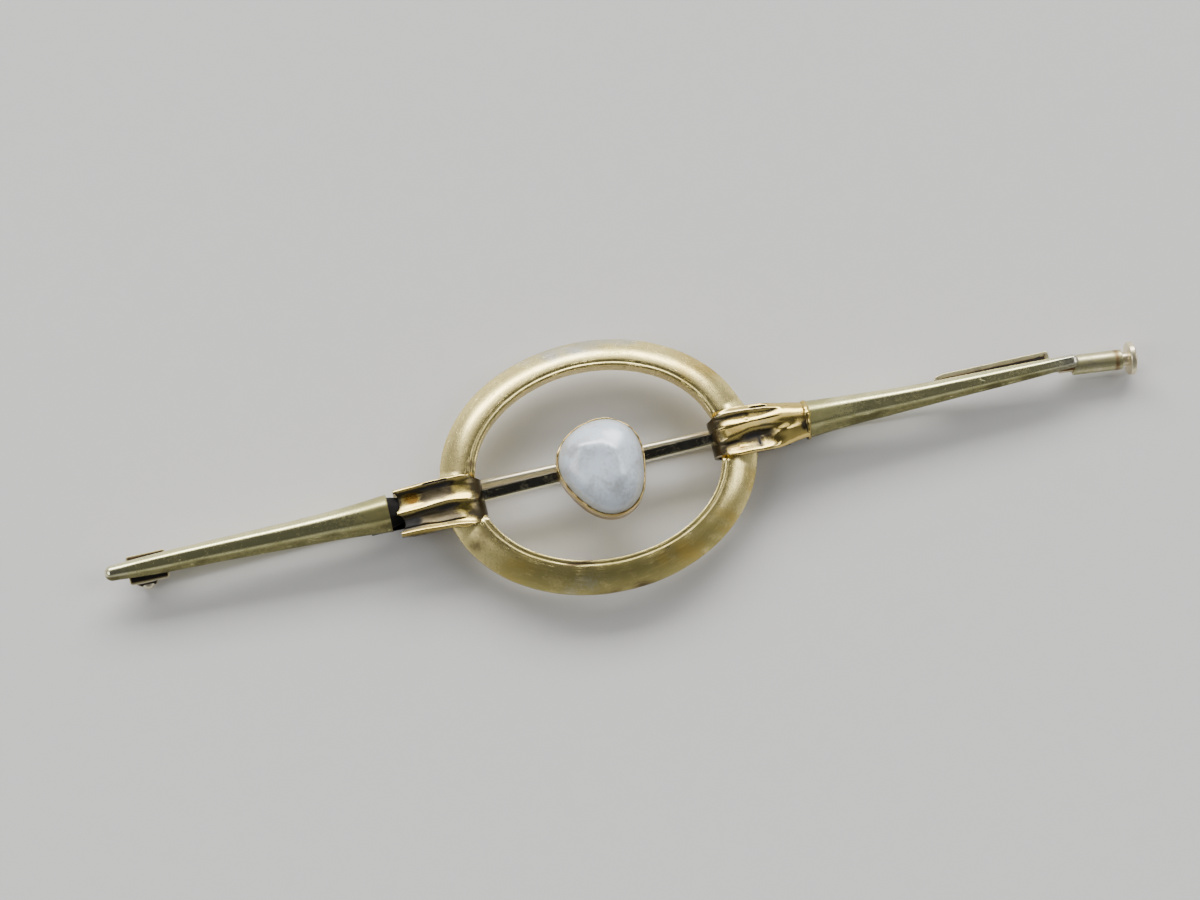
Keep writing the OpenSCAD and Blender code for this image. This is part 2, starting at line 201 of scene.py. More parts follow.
def even_path(corners: list[tuple[float, float]], step: float, rounding: float) -> Array:
    """A rounded line through corners: even steps along them, blurred by a Gaussian.

    Args:
        corners: the corners, in order.
        step: distance between two points.
        rounding: the blur's standard deviation.

    Returns:
        The points, with the first and last corner kept.
    """
    line = np.asarray(corners, float)
    reach = lengths(line)
    even = read_off(line, reach, np.linspace(0, reach[-1], max(int(reach[-1] / step), 8)))
    half = int(3 * rounding / step) + 1
    weights = np.exp(-0.5 * (np.arange(-half, half + 1) * step / rounding) ** 2)
    before = 2 * even[0] - even[half:0:-1]
    after = 2 * even[-1] - even[-2 : -half - 2 : -1]
    padded = np.concatenate([before, even, after])
    weights /= weights.sum()
    return np.stack([np.convolve(padded[:, k], weights, "valid") for k in range(2)], axis=1)


def rounded_loop(corners: list[tuple[float, float]], step: float, rounding: float) -> Array:
    """A closed outline with blurred corners, as even_path() but without ends.

    Args:
        corners: the corners, in order.
        step: distance between two points.
        rounding: the blur's standard deviation.

    Returns:
        The points, without the first one again at the end.
    """
    line = np.asarray([*corners, corners[0]], float)
    reach = lengths(line)
    count = max(int(reach[-1] / step), 12)
    even = read_off(line, reach, np.linspace(0, reach[-1], count, endpoint=False))
    waves = np.fft.fftfreq(count, reach[-1] / count)
    damping = np.exp(-2 * (math.pi * waves * rounding) ** 2)
    return np.fft.ifft(np.fft.fft(even, axis=0) * damping[:, None], axis=0).real


def side_of(path: Array) -> Array:
    """Unit normals on the left of a plane path, from its central differences.

    Args:
        path: the path's points.

    Returns:
        One normal for each point.
    """
    run = np.gradient(path, axis=0)
    run /= np.linalg.norm(run, axis=1, keepdims=True)
    return np.stack([-run[:, 1], run[:, 0]], axis=1)


def reach_along(points: Array, axis: int, closed: bool) -> Array:
    """Distances along a grid in one direction, the mean over the other.

    Args:
        points: the grid, with X, Y, W on its last axis.
        axis: 0 or 1, the direction.
        closed: whether the grid joins up in that direction, which adds one more distance.

    Returns:
        The distances from the first row, rising.
    """
    steps = np.roll(points, -1, axis=axis) - points
    sizes = np.linalg.norm(steps, axis=2).mean(axis=1 - axis)
    return np.r_[0, np.cumsum(sizes)][: len(sizes) + int(closed)]


@dataclass
class Surface:
    """A grid of points that becomes one piece.

    Args:
        name: the piece's name.
        points: the grid in millimetres, with X, Y, W on its last axis.
        closed: whether it joins up along its first and its second direction.
        capped: whether the first and the last row are closed with a fan.
        tarnish: grime and painted shade together at each point: 0 none, 0.5 brown, 1 darkest.
        hue: how each point's gold leans: -1 silvery, 1 orange.
        patina: how much more patina than elsewhere: -1 none, 1 all.
        wall: the wall's thickness in millimetres where the grid is a sheet, or 0.
        crease: the angle in degrees past which an edge stays sharp.
    """

    name: str
    points: Array
    closed: tuple[bool, bool] = (False, False)
    capped: tuple[bool, bool] = (False, False)
    tarnish: Union[Array, float] = 0.0
    hue: Union[Array, float] = 0.0
    patina: Union[Array, float] = 0.0
    wall: float = 0.0
    crease: float = 50.0

    def quads(self) -> tuple[Array, Array]:
        """The grid's quads as point numbers, and their corners' places on the grid.

        Returns:
            Four point numbers for each quad, and the row and column of each of its corners.
        """
        rows, columns = self.points.shape[:2]
        i = np.arange(rows - 1 + int(self.closed[0]))
        j = np.arange(columns - 1 + int(self.closed[1]))
        i, j = (g.ravel() for g in np.meshgrid(i, j, indexing="ij"))
        places = np.stack([[i, j], [i + 1, j], [i + 1, j + 1], [i, j + 1]])
        numbers = (places[:, 0] % rows) * columns + places[:, 1] % columns
        return numbers.T, places.transpose(2, 0, 1)

    def faces(self) -> tuple[Array, list[Array], Array, Array, Array]:
        """The quads and the fans that close the caps.

        Returns:
            All points, their marks, the corners of all faces as point numbers, how many corners
            each face has, and each corner's surface coordinates.
        """
        rows, columns = self.points.shape[:2]
        flat = self.points.reshape(-1, 3)
        marks = (self.tarnish, self.hue, self.patina)
        marks = [np.broadcast_to(mark, (rows, columns)).ravel() for mark in marks]
        numbers, places = self.quads()
        across = reach_along(self.points, 0, self.closed[0])
        along = reach_along(self.points, 1, self.closed[1])
        uvs = [np.stack([across[places[..., 0]], along[places[..., 1]]], axis=-1).reshape(-1, 2)]
        loops, sizes = [numbers.ravel()], [np.full(len(numbers), 4)]
        for wanted, row, order in ((self.capped[0], 0, 1), (self.capped[1], rows - 1, -1)):
            if wanted:
                rim = row * columns + np.arange(columns)
                hub = np.full(columns, len(flat))
                flat = np.vstack([flat, flat[rim].mean(axis=0)])
                marks = [np.r_[mark, mark[rim].mean()] for mark in marks]
                fan = np.stack([hub, rim, np.roll(rim, -1)], axis=1)[:, ::-order].ravel()
                loops.append(fan)
                sizes.append(np.full(columns, 3))
                uvs.append(flat[fan][:, 1:] + across[row])
        corners, counts, places = (np.concatenate(part) for part in (loops, sizes, uvs))
        return flat, marks, corners, counts, places

    def mesh(self) -> bpy.types.Mesh:
        """The mesh in metres, with its caps, its surface coordinates and its marks.

        Returns:
            The mesh, without its material.
        """
        flat, marks, corners, counts, uvs = self.faces()
        starts = np.r_[0, np.cumsum(counts)[:-1]]
        arms = flat - flat.mean(axis=0)
        first, second, third = (arms[corners[starts + k]] for k in range(3))
        inside_out = float((first * np.cross(second, third)).sum()) < 0
        place = (flat + [-CENTRE_SHIFT, 0, FLOOR_DEPTH]) * MM
        mesh = bpy.data.meshes.new(self.name)
        mesh.vertices.add(len(place))
        mesh.vertices.foreach_set("co", place.astype(np.float32).ravel())
        mesh.loops.add(len(corners))
        mesh.loops.foreach_set("vertex_index", corners.astype(np.int32))
        mesh.polygons.add(len(counts))
        mesh.polygons.foreach_set("loop_start", starts.astype(np.int32))
        layer = mesh.uv_layers.new(name=UV_NAME)
        layer.uv.foreach_set("vector", uvs.astype(np.float32).ravel())
        for mark, values in zip(Mark, marks):
            attribute = mesh.attributes.new(mark.value, "FLOAT", "POINT")
            attribute.data.foreach_set("value", values.astype(np.float32))
        mesh.update(calc_edges=True)
        if inside_out:
            mesh.flip_normals()
        mesh.polygons.foreach_set("use_smooth", np.ones(len(mesh.polygons), bool))
        mesh.set_sharp_from_angle(angle=math.radians(self.crease))
        return mesh

    def build(self, finish: "Finish", slot: Slot, node: str, body: str = BODY) -> None:
        """Makes the piece, dresses it and lets it ride on a body.

        Args:
            finish: what it is dressed in.
            slot: the record's slot of that finish. It is not used.
            node: the CAD node that it stands for.
            body: the body that it rides on.
        """
        mesh = self.mesh()
        mesh.materials.append(finish.material())
        piece = bpy.data.objects.new(self.name, mesh)
        bpy.context.scene.collection.objects.link(piece)
        if self.wall:
            wall = piece.modifiers.new("wall", "SOLIDIFY")
            wall.thickness, wall.offset = self.wall * MM, -1
        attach(piece, body)
        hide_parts(node)
        LOG.info("%s: %d points, %d faces", self.name, len(mesh.vertices), len(mesh.polygons))

    def build_gold(self, finish: "Finish") -> None:
        """Makes a piece of the soldered frame."""
        self.build(finish, Slot.FRAME, "soldered_frame")


class Term:
    """One socket of a material, with Python's sums on it."""

    def __init__(self, shader: "Shader", socket: Optional[bpy.types.NodeSocket]) -> None:
        """Holds the socket and the tree that it is in."""
        self.shader = shader
        self.socket = socket

    def sum(self, operation: str, first: "Value", second: "Value") -> "Term":
        """Adds one Math node."""
        return self.shader.node("ShaderNodeMath", {"operation": operation}, {0: first, 1: second})

    def __add__(self, other: "Value") -> "Term":
        """self + other."""
        return self.sum("ADD", self, other)

    __radd__ = __add__

    def __sub__(self, other: "Value") -> "Term":
        """self - other."""
        return self.sum("SUBTRACT", self, other)

    def __rsub__(self, other: "Value") -> "Term":
        """other - self."""
        return self.sum("SUBTRACT", other, self)

    def __mul__(self, other: "Value") -> "Term":
        """self * other."""
        return self.sum("MULTIPLY", self, other)

    __rmul__ = __mul__

    def size(self) -> "Term":
        """The value without its sign."""
        return self.sum("ABSOLUTE", self, 0.0)

    def between(self, low: float, high: float) -> "Term":
        """0 at low and under, 1 at high and over, smooth in between."""
        inputs = {"Value": self, "From Min": low, "From Max": high}
        return self.shader.node("ShaderNodeMapRange", {"interpolation_type": "SMOOTHSTEP"}, inputs)


Value = Union[Term, float, Colour]


class Shader:
    """The node tree of a material or of the room, built one node at a time."""

    def __init__(self, owner: Union[bpy.types.Material, bpy.types.World]) -> None:
        """Empties the owner's tree.

        Args:
            owner: the material or the room.
        """
        owner.use_nodes = True
        self.tree = owner.node_tree
        self.tree.nodes.clear()

    def node(
        self,
        kind: str,
        settings: Optional[dict[str, Any]] = None,
        inputs: Optional[dict[Union[str, int], Value]] = None,
        output: Union[str, int] = 0,
    ) -> Term:
        """Adds a node.

        Args:
            kind: the node's type.
            settings: its own settings, set first.
            inputs: the value or the link of each input, by name or number.
            output: the output that is handed back, by name or number.

        Returns:
            That output, or nothing in it where the node has none.
        """
        node = self.tree.nodes.new(kind)
        for key, setting in (settings or {}).items():
            setattr(node, key, setting)
        for key, value in (inputs or {}).items():
            if isinstance(value, Term):
                self.tree.links.new(value.socket, node.inputs[key])
            elif node.inputs[key].type == "RGBA":
                node.inputs[key].default_value = (*value, 1.0)
            else:
                node.inputs[key].default_value = value
        return Term(self, node.outputs[output] if node.outputs else None)

    def noise(self, place: Term, scale: float, detail: float = 3.0, warp: float = 0.0) -> Term:
        """Cloudy noise from 0 to 1, with scale features to the millimetre."""
        inputs = {"Vector": place, "Scale": scale, "Detail": detail, "Distortion": warp}
        return self.node("ShaderNodeTexNoise", None, inputs)

    def stretch(self, place: Term, sizes: Colour, turn: float = 0.0) -> Term:
        """The place, turned by degrees about W and stretched along each axis.

        Args:
            place: the place.
            sizes: the factor along each axis.
            turn: the turn in degrees.

        Returns:
            The changed place.
        """
        turns = (0.0, 0.0, math.radians(turn))
        inputs = {"Vector": place, "Rotation": turns, "Scale": sizes}
        return self.node("ShaderNodeMapping", None, inputs)

    def mix(self, share: Value, low: Value, high: Value) -> Term:
        """Blends two colours."""
        return self.node("ShaderNodeMix", {"data_type": "RGBA"}, {0: share, 6: low, 7: high}, 2)

    def relief(self, height: Term) -> Term:
        """A normal bent by a height in hundredths of a millimetre."""
        return self.node("ShaderNodeBump", None, {"Height": height, "Distance": 0.01 * MM})

    def mark(self, mark: Mark) -> Term:
        """What the piece's points carry."""
        settings = {"attribute_name": mark.value, "attribute_type": "GEOMETRY"}
        return self.node("ShaderNodeAttribute", settings, None, "Fac")

    def surface_place(self) -> Term:
        """The piece's own surface coordinates, in millimetres along and across it."""
        return self.node("ShaderNodeUVMap", {"uv_map": UV_NAME})

    def space_place(self) -> Term:
        """The place in space, in millimetres.

        Returns:
            The Object coordinates, in millimetres.
        """
        place = self.node("ShaderNodeTexCoord", None, None, "Object")
        inputs = {0: place, "Scale": 1 / MM}
        return self.node("ShaderNodeVectorMath", {"operation": "SCALE"}, inputs)

    def skin(self, inputs: dict[Union[str, int], Value]) -> None:
        """Ends the tree in one Principled shader with these inputs."""
        skin = self.node("ShaderNodeBsdfPrincipled", None, inputs)
        self.node("ShaderNodeOutputMaterial", None, {"Surface": skin})


@dataclass(frozen=True)
class Finish:
    """What a piece is dressed in. Its material is made once and shared."""

    name: str

    def shade(self, s: Shader) -> None:
        """Builds the material's nodes."""
        raise NotImplementedError

    def material(self) -> bpy.types.Material:
        """The material, built on first use.

        Returns:
            The material that all pieces in this finish share.
        """
        made = bpy.data.materials.get(self.name)
        if made is None:
            made = bpy.data.materials.new(self.name)
            self.shade(Shader(made))
        return made


@dataclass(frozen=True)
class WornGold(Finish):
    """Worn gold, with tarnishing where no finger reaches and painted shade where its points are
    marked dark.

    Args:
        bright: the colour of the rubbed metal.
        olive: the colour of the patina in patches.
        silver: the colour of points whose hue is silvery.
        orange: the colour of points whose hue is orange.
        brown: the colour of the tarnishing and of the lighter painted shade.
        soot_and_shadow: the colour of the deepest recesses and gaps, where it paints their shadow.
        gloss: roughness of the rubbed metal.
        haze: how much rougher the patina is.
        cover: share of the surface under patina, about 0 to 1.
        grain: how fast the brush marks change along and across the surface, per millimetre.
        grain_depth: depth of those marks, in hundredths of a millimetre.
        dent_depth: depth of the soft dents, in hundredths of a millimetre.
        scratch_depth: depth of the single scratches, in hundredths of a millimetre.
        marked: whether the piece's points carry marks and surface coordinates.
    """

    bright: Colour = (0.88, 0.82, 0.52)
    olive: Colour = (0.50, 0.46, 0.22)
    silver: Colour = (0.62, 0.60, 0.49)
    orange: Colour = (0.66, 0.36, 0.08)
    brown: Colour = (0.22, 0.12, 0.05)
    soot_and_shadow: Colour = (0.012, 0.010, 0.008)
    gloss: float = 0.22
    haze: float = 0.14
    cover: float = 0.5
    grain: tuple[float, float] = (0.3, 8.0)
    grain_depth: float = 0.06
    dent_depth: float = 0.25
    scratch_depth: float = 0.05
    marked: bool = True

    def scratches(self, s: Shader, place: Term, space: Term) -> Term:
        """Thin lines at three slants: where a stretched noise is close to a half, in patches.

        Args:
            s: the material's tree.
            place: the place along and across the surface.
            space: the place in space.

        Returns:
            How strong the scratches are, from 0 where there is none.
        """
        total = None
        for turn, pace in ((8.0, 0.9), (-31.0, 1.3), (63.0, 1.1)):
            along = s.stretch(place, (0.3 * pace, 4.0 * pace, 4.0 * pace), turn)
            line = 1.0 - (s.noise(along, 1.0, 1.0) - 0.5).size().between(0.0, 0.008)
            line = line * s.noise(space, 1.1 * pace, 1.0).between(0.52, 0.62)
            total = line if total is None else total + line
        return total

    def shade(self, s: Shader) -> None:
        """Patina in soft patches, marked hues, tarnishing and painted shade, brush marks and thin
        scratches.

        Args:
            s: the material's tree.
        """
        space = s.space_place()
        place = s.surface_place() if self.marked else space
        patches = s.noise(space, 0.5, 4.0, 0.8)
        fine = s.noise(space, 6.0, 5.0, 0.3)
        streaks = s.noise(s.stretch(place, (*self.grain, self.grain[1])), 1.0, 3.0)
        lines = self.scratches(s, place, space)
        cover = patches * 0.55 + fine * 0.35 + streaks * 0.18
        level = 0.72 - 0.36 * self.cover
        if self.marked:
            cover = cover + s.mark(Mark.PATINA) * 0.3
        cover = cover.between(level - 0.17, level + 0.17) * (1.0 - lines * 0.5)
        colour = s.mix(cover, self.bright, self.olive)
        if self.marked:
            hue = s.mark(Mark.HUE) + (fine - 0.5) * 0.5
            colour = s.mix((0.0 - hue).between(0.12, 0.9), colour, self.silver)
            colour = s.mix(hue.between(0.12, 0.9), colour, self.orange)
            # The mark paints shade as well as tarnishing: brown for its lighter share, the darkest
            # colour for painted shadow
            mark = s.mark(Mark.TARNISH_AND_SHADE)
            dirt_and_shade = (mark * 1.15 - fine * 0.3 - lines * 0.15).between(0.0, 0.42)
            soot_and_shadow_share = (mark * 1.1 - fine * 0.2).between(0.5, 0.85)
        else:
            dirt_and_shade = fine.between(0.62, 0.9) * 0.5
            soot_and_shadow_share = dirt_and_shade * 0.3
        colour = s.mix(soot_and_shadow_share, s.mix(dirt_and_shade, colour, self.brown), self.soot_and_shadow)
        rough = cover * self.haze + fine * 0.1 + streaks * 0.06 + dirt_and_shade * 0.15
        rough = rough + (self.gloss - 0.08) + soot_and_shadow_share * 0.4
        height = streaks * self.grain_depth + s.noise(space, 2.5, 2.0) * self.dent_depth
        height = height - lines * self.scratch_depth
        s.skin(
            {
                "Base Color": colour,
                "Metallic": 1.0 - soot_and_shadow_share * 0.7,
                "Roughness": rough,
                "Normal": s.relief(height),
            }
        )


@dataclass(frozen=True)
class Nacre(Finish):
    """The pearl's skin: a soft grey lustre, cloudy, faintly pitted, with painted shade at its rim.
    """

    pale: Colour = (0.78, 0.87, 0.97)
    grey: Colour = (0.50, 0.51, 0.51)

    def shade(self, s: Shader) -> None:
        """Cloudy greys with small specks under a clear coat, greyer where the mark paints shade.

        Args:
            s: the material's tree.
        """
        space = s.space_place()
        clouds = s.noise(space, 0.7, 4.0, 0.4)
        specks = s.noise(space, 5.0, 4.0, 0.2)
        # The mark greys the pearl towards its waist: painted shade
        share = (clouds * 0.7 + specks * 0.3).between(0.32, 0.6) * (1.0 - s.mark(Mark.TARNISH_AND_SHADE))
        s.skin(
            {
                "Base Color": s.mix(share, self.grey, self.pale),
                "Roughness": 0.24 + specks * 0.2,
                "Normal": s.relief(clouds * 2.2 + specks * 0.6),
                "Specular IOR Level": 1.0,
                "Specular Tint": (0.80, 0.92, 1.0),
                "Coat Weight": 1.0,
                "Coat Roughness": 0.24,
                "Coat IOR": 1.85,
                "Subsurface Weight": 0.2,
                "Subsurface Radius": (0.9, 0.8, 0.7),
                "Subsurface Scale": 0.0005,
            }
        )


@dataclass(frozen=True)
class PaleFloor(Finish):
    """The plain pale floor."""

    def shade(self, s: Shader) -> None:
        """An off-white with a barely visible grain.

        Args:
            s: the material's tree.
        """
        grain = s.noise(s.space_place(), 0.8, 2.0)
        colour = s.mix(grain, (0.72, 0.71, 0.69), (0.75, 0.74, 0.72))
        s.skin({"Base Color": colour, "Roughness": 0.6})


@dataclass(frozen=True)
class Finishes:
    """The finishes of this brooch."""

    arm: Finish = WornGold(
        "arm_gold",
        bright=(0.88, 0.83, 0.43),
        olive=(0.45, 0.42, 0.18),
        brown=(0.15, 0.135, 0.06),
        gloss=0.2,
        haze=0.16,
        cover=0.25,
        dent_depth=0.1,
        scratch_depth=0.02,
    )
    ring: Finish = WornGold(
        "satin_gold",
        bright=(0.92, 0.76, 0.31),
        olive=(0.46, 0.39, 0.14),
        brown=(0.17, 0.125, 0.06),
        orange=(0.62, 0.45, 0.12),
        gloss=0.27,
        haze=0.14,
        cover=0.12,
        grain=(0.9, 9.0),
        grain_depth=0.2,
        dent_depth=0.45,
        scratch_depth=0.35,
    )
    collar: Finish = WornGold(
        "collar_gold",
        bright=(0.74, 0.55, 0.16),
        olive=(0.42, 0.34, 0.09),
        orange=(0.34, 0.18, 0.035),
        brown=(0.085, 0.068, 0.04),
        gloss=0.15,
        haze=0.16,
        cover=0.15,
        grain=(0.5, 5.0),
        dent_depth=0.35,
    )
    bar: Finish = WornGold(
        "bar_gold", brown=(0.05, 0.047, 0.038), gloss=0.16, haze=0.1, cover=0.2, grain=(0.2, 6.0)
    )
    collet: Finish = WornGold("collet_gold", bright=(0.80, 0.58, 0.24), gloss=0.18, cover=0.3)
    plate: Finish = WornGold("plate_gold", bright=(0.80, 0.70, 0.44), gloss=0.26, cover=0.5)
    pin: Finish = WornGold("pin_gold", gloss=0.26, cover=0.6, grain=(0.2, 8.0), marked=False)
    slider: Finish = WornGold("slider_gold", gloss=0.2, cover=0.3, grain=(3.0, 3.0))
    rivet: Finish = WornGold("rivet_gold", gloss=0.16, cover=0.2, grain=(3.0, 3.0), marked=False)
    nacre: Finish = Nacre("nacre")
    floor: Finish = PaleFloor("pale_floor")


@dataclass
class OvalRing:
    """The oval ring of satin wire, whose front slopes out and back from a crest near its hole."""

    half_length: float = 9.39
    half_height: float = 7.53
    shoulder: float = 0.055
    width: float = 1.965
    width_swing: float = 0.13
    dome_radius: float = 1.12
    front: float = 0.87
    back: float = 0.65
    crest_share: float = 0.87
    slope_drop: float = 0.95
    slope_power: float = 2.1
    inner_drop: float = 0.35
    groove_in: float = 0.26
    groove_depth: float = 0.045
    groove_width: float = 0.06
    # Where the sides end behind, and how far the back's edges are cut off
    side_end: float = -0.41
    back_cut: float = 0.24
    # The middles of the two collars across the face, and how far from there they clasp the band
    collar_middles: tuple[float, float] = (-0.5, 0.05)
    clasp: tuple[float, float] = (1.3, 2.2)
    steps: int = 560
    front_points: int = 120
    # Dark patches; the long one along the lower arc's outer edge is painted shade
    tarnished_and_shaded: tuple[Patch, ...] = (
        (-7.7, 1.45, 0.9, 0.4, 0.5),
        (-7.9, -2.9, 0.9, 0.9, 0.36),
        (-2.3, -5.55, 1.3, 0.2, 0.5),
        (8.6, -2.0, 0.5, 0.5, 0.3),
        (0.5, -7.55, 6.5, 0.45, 0.34),
    )
    silvered: tuple[Patch, ...] = (
        (-2.4, -6.7, 2.0, 0.8, 0.35),
        (0.5, 7.1, 5.5, 0.7, 0.7),
        (-8.6, 3.2, 0.8, 2.6, 0.4),
    )
    gilded: tuple[Patch, ...] = (
        (3.4, -6.2, 2.0, 0.8, 0.7),
        (-5.9, -4.9, 1.8, 1.1, 0.45),
        (6.5, -4.9, 1.2, 1.2, 0.5),
        (2.6, 5.7, 3.0, 0.6, 0.2),
        (-8.4, 1.6, 0.7, 1.8, 0.45),
        (6.9, 4.4, 2.0, 1.3, 0.7),
        (8.6, -3.0, 0.8, 1.6, 0.5),
    )
    # Patches of patina; the three over the lower arc darken it as painted shade
    clouded_and_shaded: tuple[Patch, ...] = (
        (0.0, -7.0, 5.5, 1.6, 1.3),
        (5.6, -5.4, 1.8, 1.6, 0.9),
        (-6.2, -5.4, 1.6, 1.4, 0.9),
        (0.0, 7.4, 6.0, 0.5, 0.5),
    )

    def outline(self, turn: Array) -> tuple[Array, Array]:
        """The oval's outer line and its normals, from its support function.

        The support is sqrt(a^2 cos^2 + b^2 sin^2) + shoulder sin^2(2 turn), and the line is
        support * normal + support' * tangent, so turn is the direction of its normal.

        Args:
            turn: the normal's direction at each point, in radians.

        Returns:
            The points and their normals.
        """
        c, s = np.cos(turn), np.sin(turn)
        a, b = self.half_length, self.half_height
        root = np.sqrt((a * c) ** 2 + (b * s) ** 2)
        reach = root + self.shoulder * np.sin(2 * turn) ** 2
        slope = (b * b - a * a) * s * c / root + 2 * self.shoulder * np.sin(4 * turn)
        normal, tangent = np.stack([c, s], -1), np.stack([-s, c], -1)
        return reach[:, None] * normal + slope[:, None] * tangent, normal

    def section(self, clasped: bool) -> Array:
        """The band's section: share of the width from the outer edge, and height.

        Under a collar it is an arc. Elsewhere its height falls outwards from the crest by
        slope_drop * (1 - share / crest_share)^slope_power, and inwards by inner_drop times the
        square of the distance. A groove marks off the lip.

        Args:
            clasped: whether it is the section under a collar.

        Returns:
            The closed loop, whose number of points goes with its length.
        """
        share = np.linspace(0, 1, self.front_points)
        inwards = (1 - share) * self.width
        if clasped:
            centre = self.front - self.dome_radius
            front = centre + np.sqrt(self.dome_radius**2 - ((share - 0.5) * self.width) ** 2)
        else:
            outer = np.clip(1 - share / self.crest_share, 0, 1) ** self.slope_power
            inner = np.clip(share - self.crest_share, 0, 1) * self.width
            front = self.front - self.slope_drop * outer - self.inner_drop * inner**2
        front = front - self.groove_depth * hump(inwards, self.groove_in, self.groove_width)
        corners = list(zip(share * self.width, front))
        corners += [(self.width, self.side_end), (self.width - self.back_cut, -self.back)]
        corners += [(self.back_cut, -self.back), (0.0, self.side_end)]
        return rounded_loop(corners, 0.035, 0.03) / [self.width, 1.0]

    def build(self, finishes: Finishes) -> None:
        """Sweeps the section round the oval, blended where the collars clasp it.

        Args:
            finishes: the brooch's finishes.
        """
        turn = full_turn(self.steps)
        line, normal = self.outline(turn)
        loops = [self.section(False), self.section(True)]
        count = min(len(loop) for loop in loops)
        for k, loop in enumerate(loops):
            places = np.arange(len(loop) + 1) / len(loop)
            loops[k] = read_off(np.vstack([loop, loop[:1]]), places, np.arange(count) / count)
        off = np.abs(line[:, 1] - np.where(line[:, 0] < 0, *self.collar_middles))
        clasped = (1 - ease(off, *self.clasp)) * (np.abs(line[:, 0]) > self.half_length / 2)
        section = loops[0][None] + (loops[1] - loops[0])[None] * clasped[:, None, None]
        width = self.width + self.width_swing * np.cos(2 * turn) + 0.03 * np.sin(3 * turn + 0.7)
        inwards = width[:, None] * section[..., 0]
        flat = line[:, None, :] - inwards[..., None] * normal[:, None, :]
        points = np.dstack([flat, section[..., 1]])
        front = section[..., 1] > 0
        points[..., 2] += 0.016 * ripple(points, 5.0, 3) * front
        points[..., :2] += 0.010 * ripple(points, 3.5, 4)[..., None] * normal[:, None, :]
        groove = hump((1 - section[..., 0]) * self.width, self.groove_in, self.groove_width)
        tarnish = 0.28 * groove * front + patches(points, self.tarnished_and_shaded)
        hue = patches(points, self.gilded) - patches(points, self.silvered)
        cover = patches(points, self.clouded_and_shaded)
        ends = (False, False)
        ring = Surface("ring_band", points, (True, True), ends, tarnish, hue, cover, crease=60)
        ring.build(finishes.ring, Slot.RING, "oval_ring")


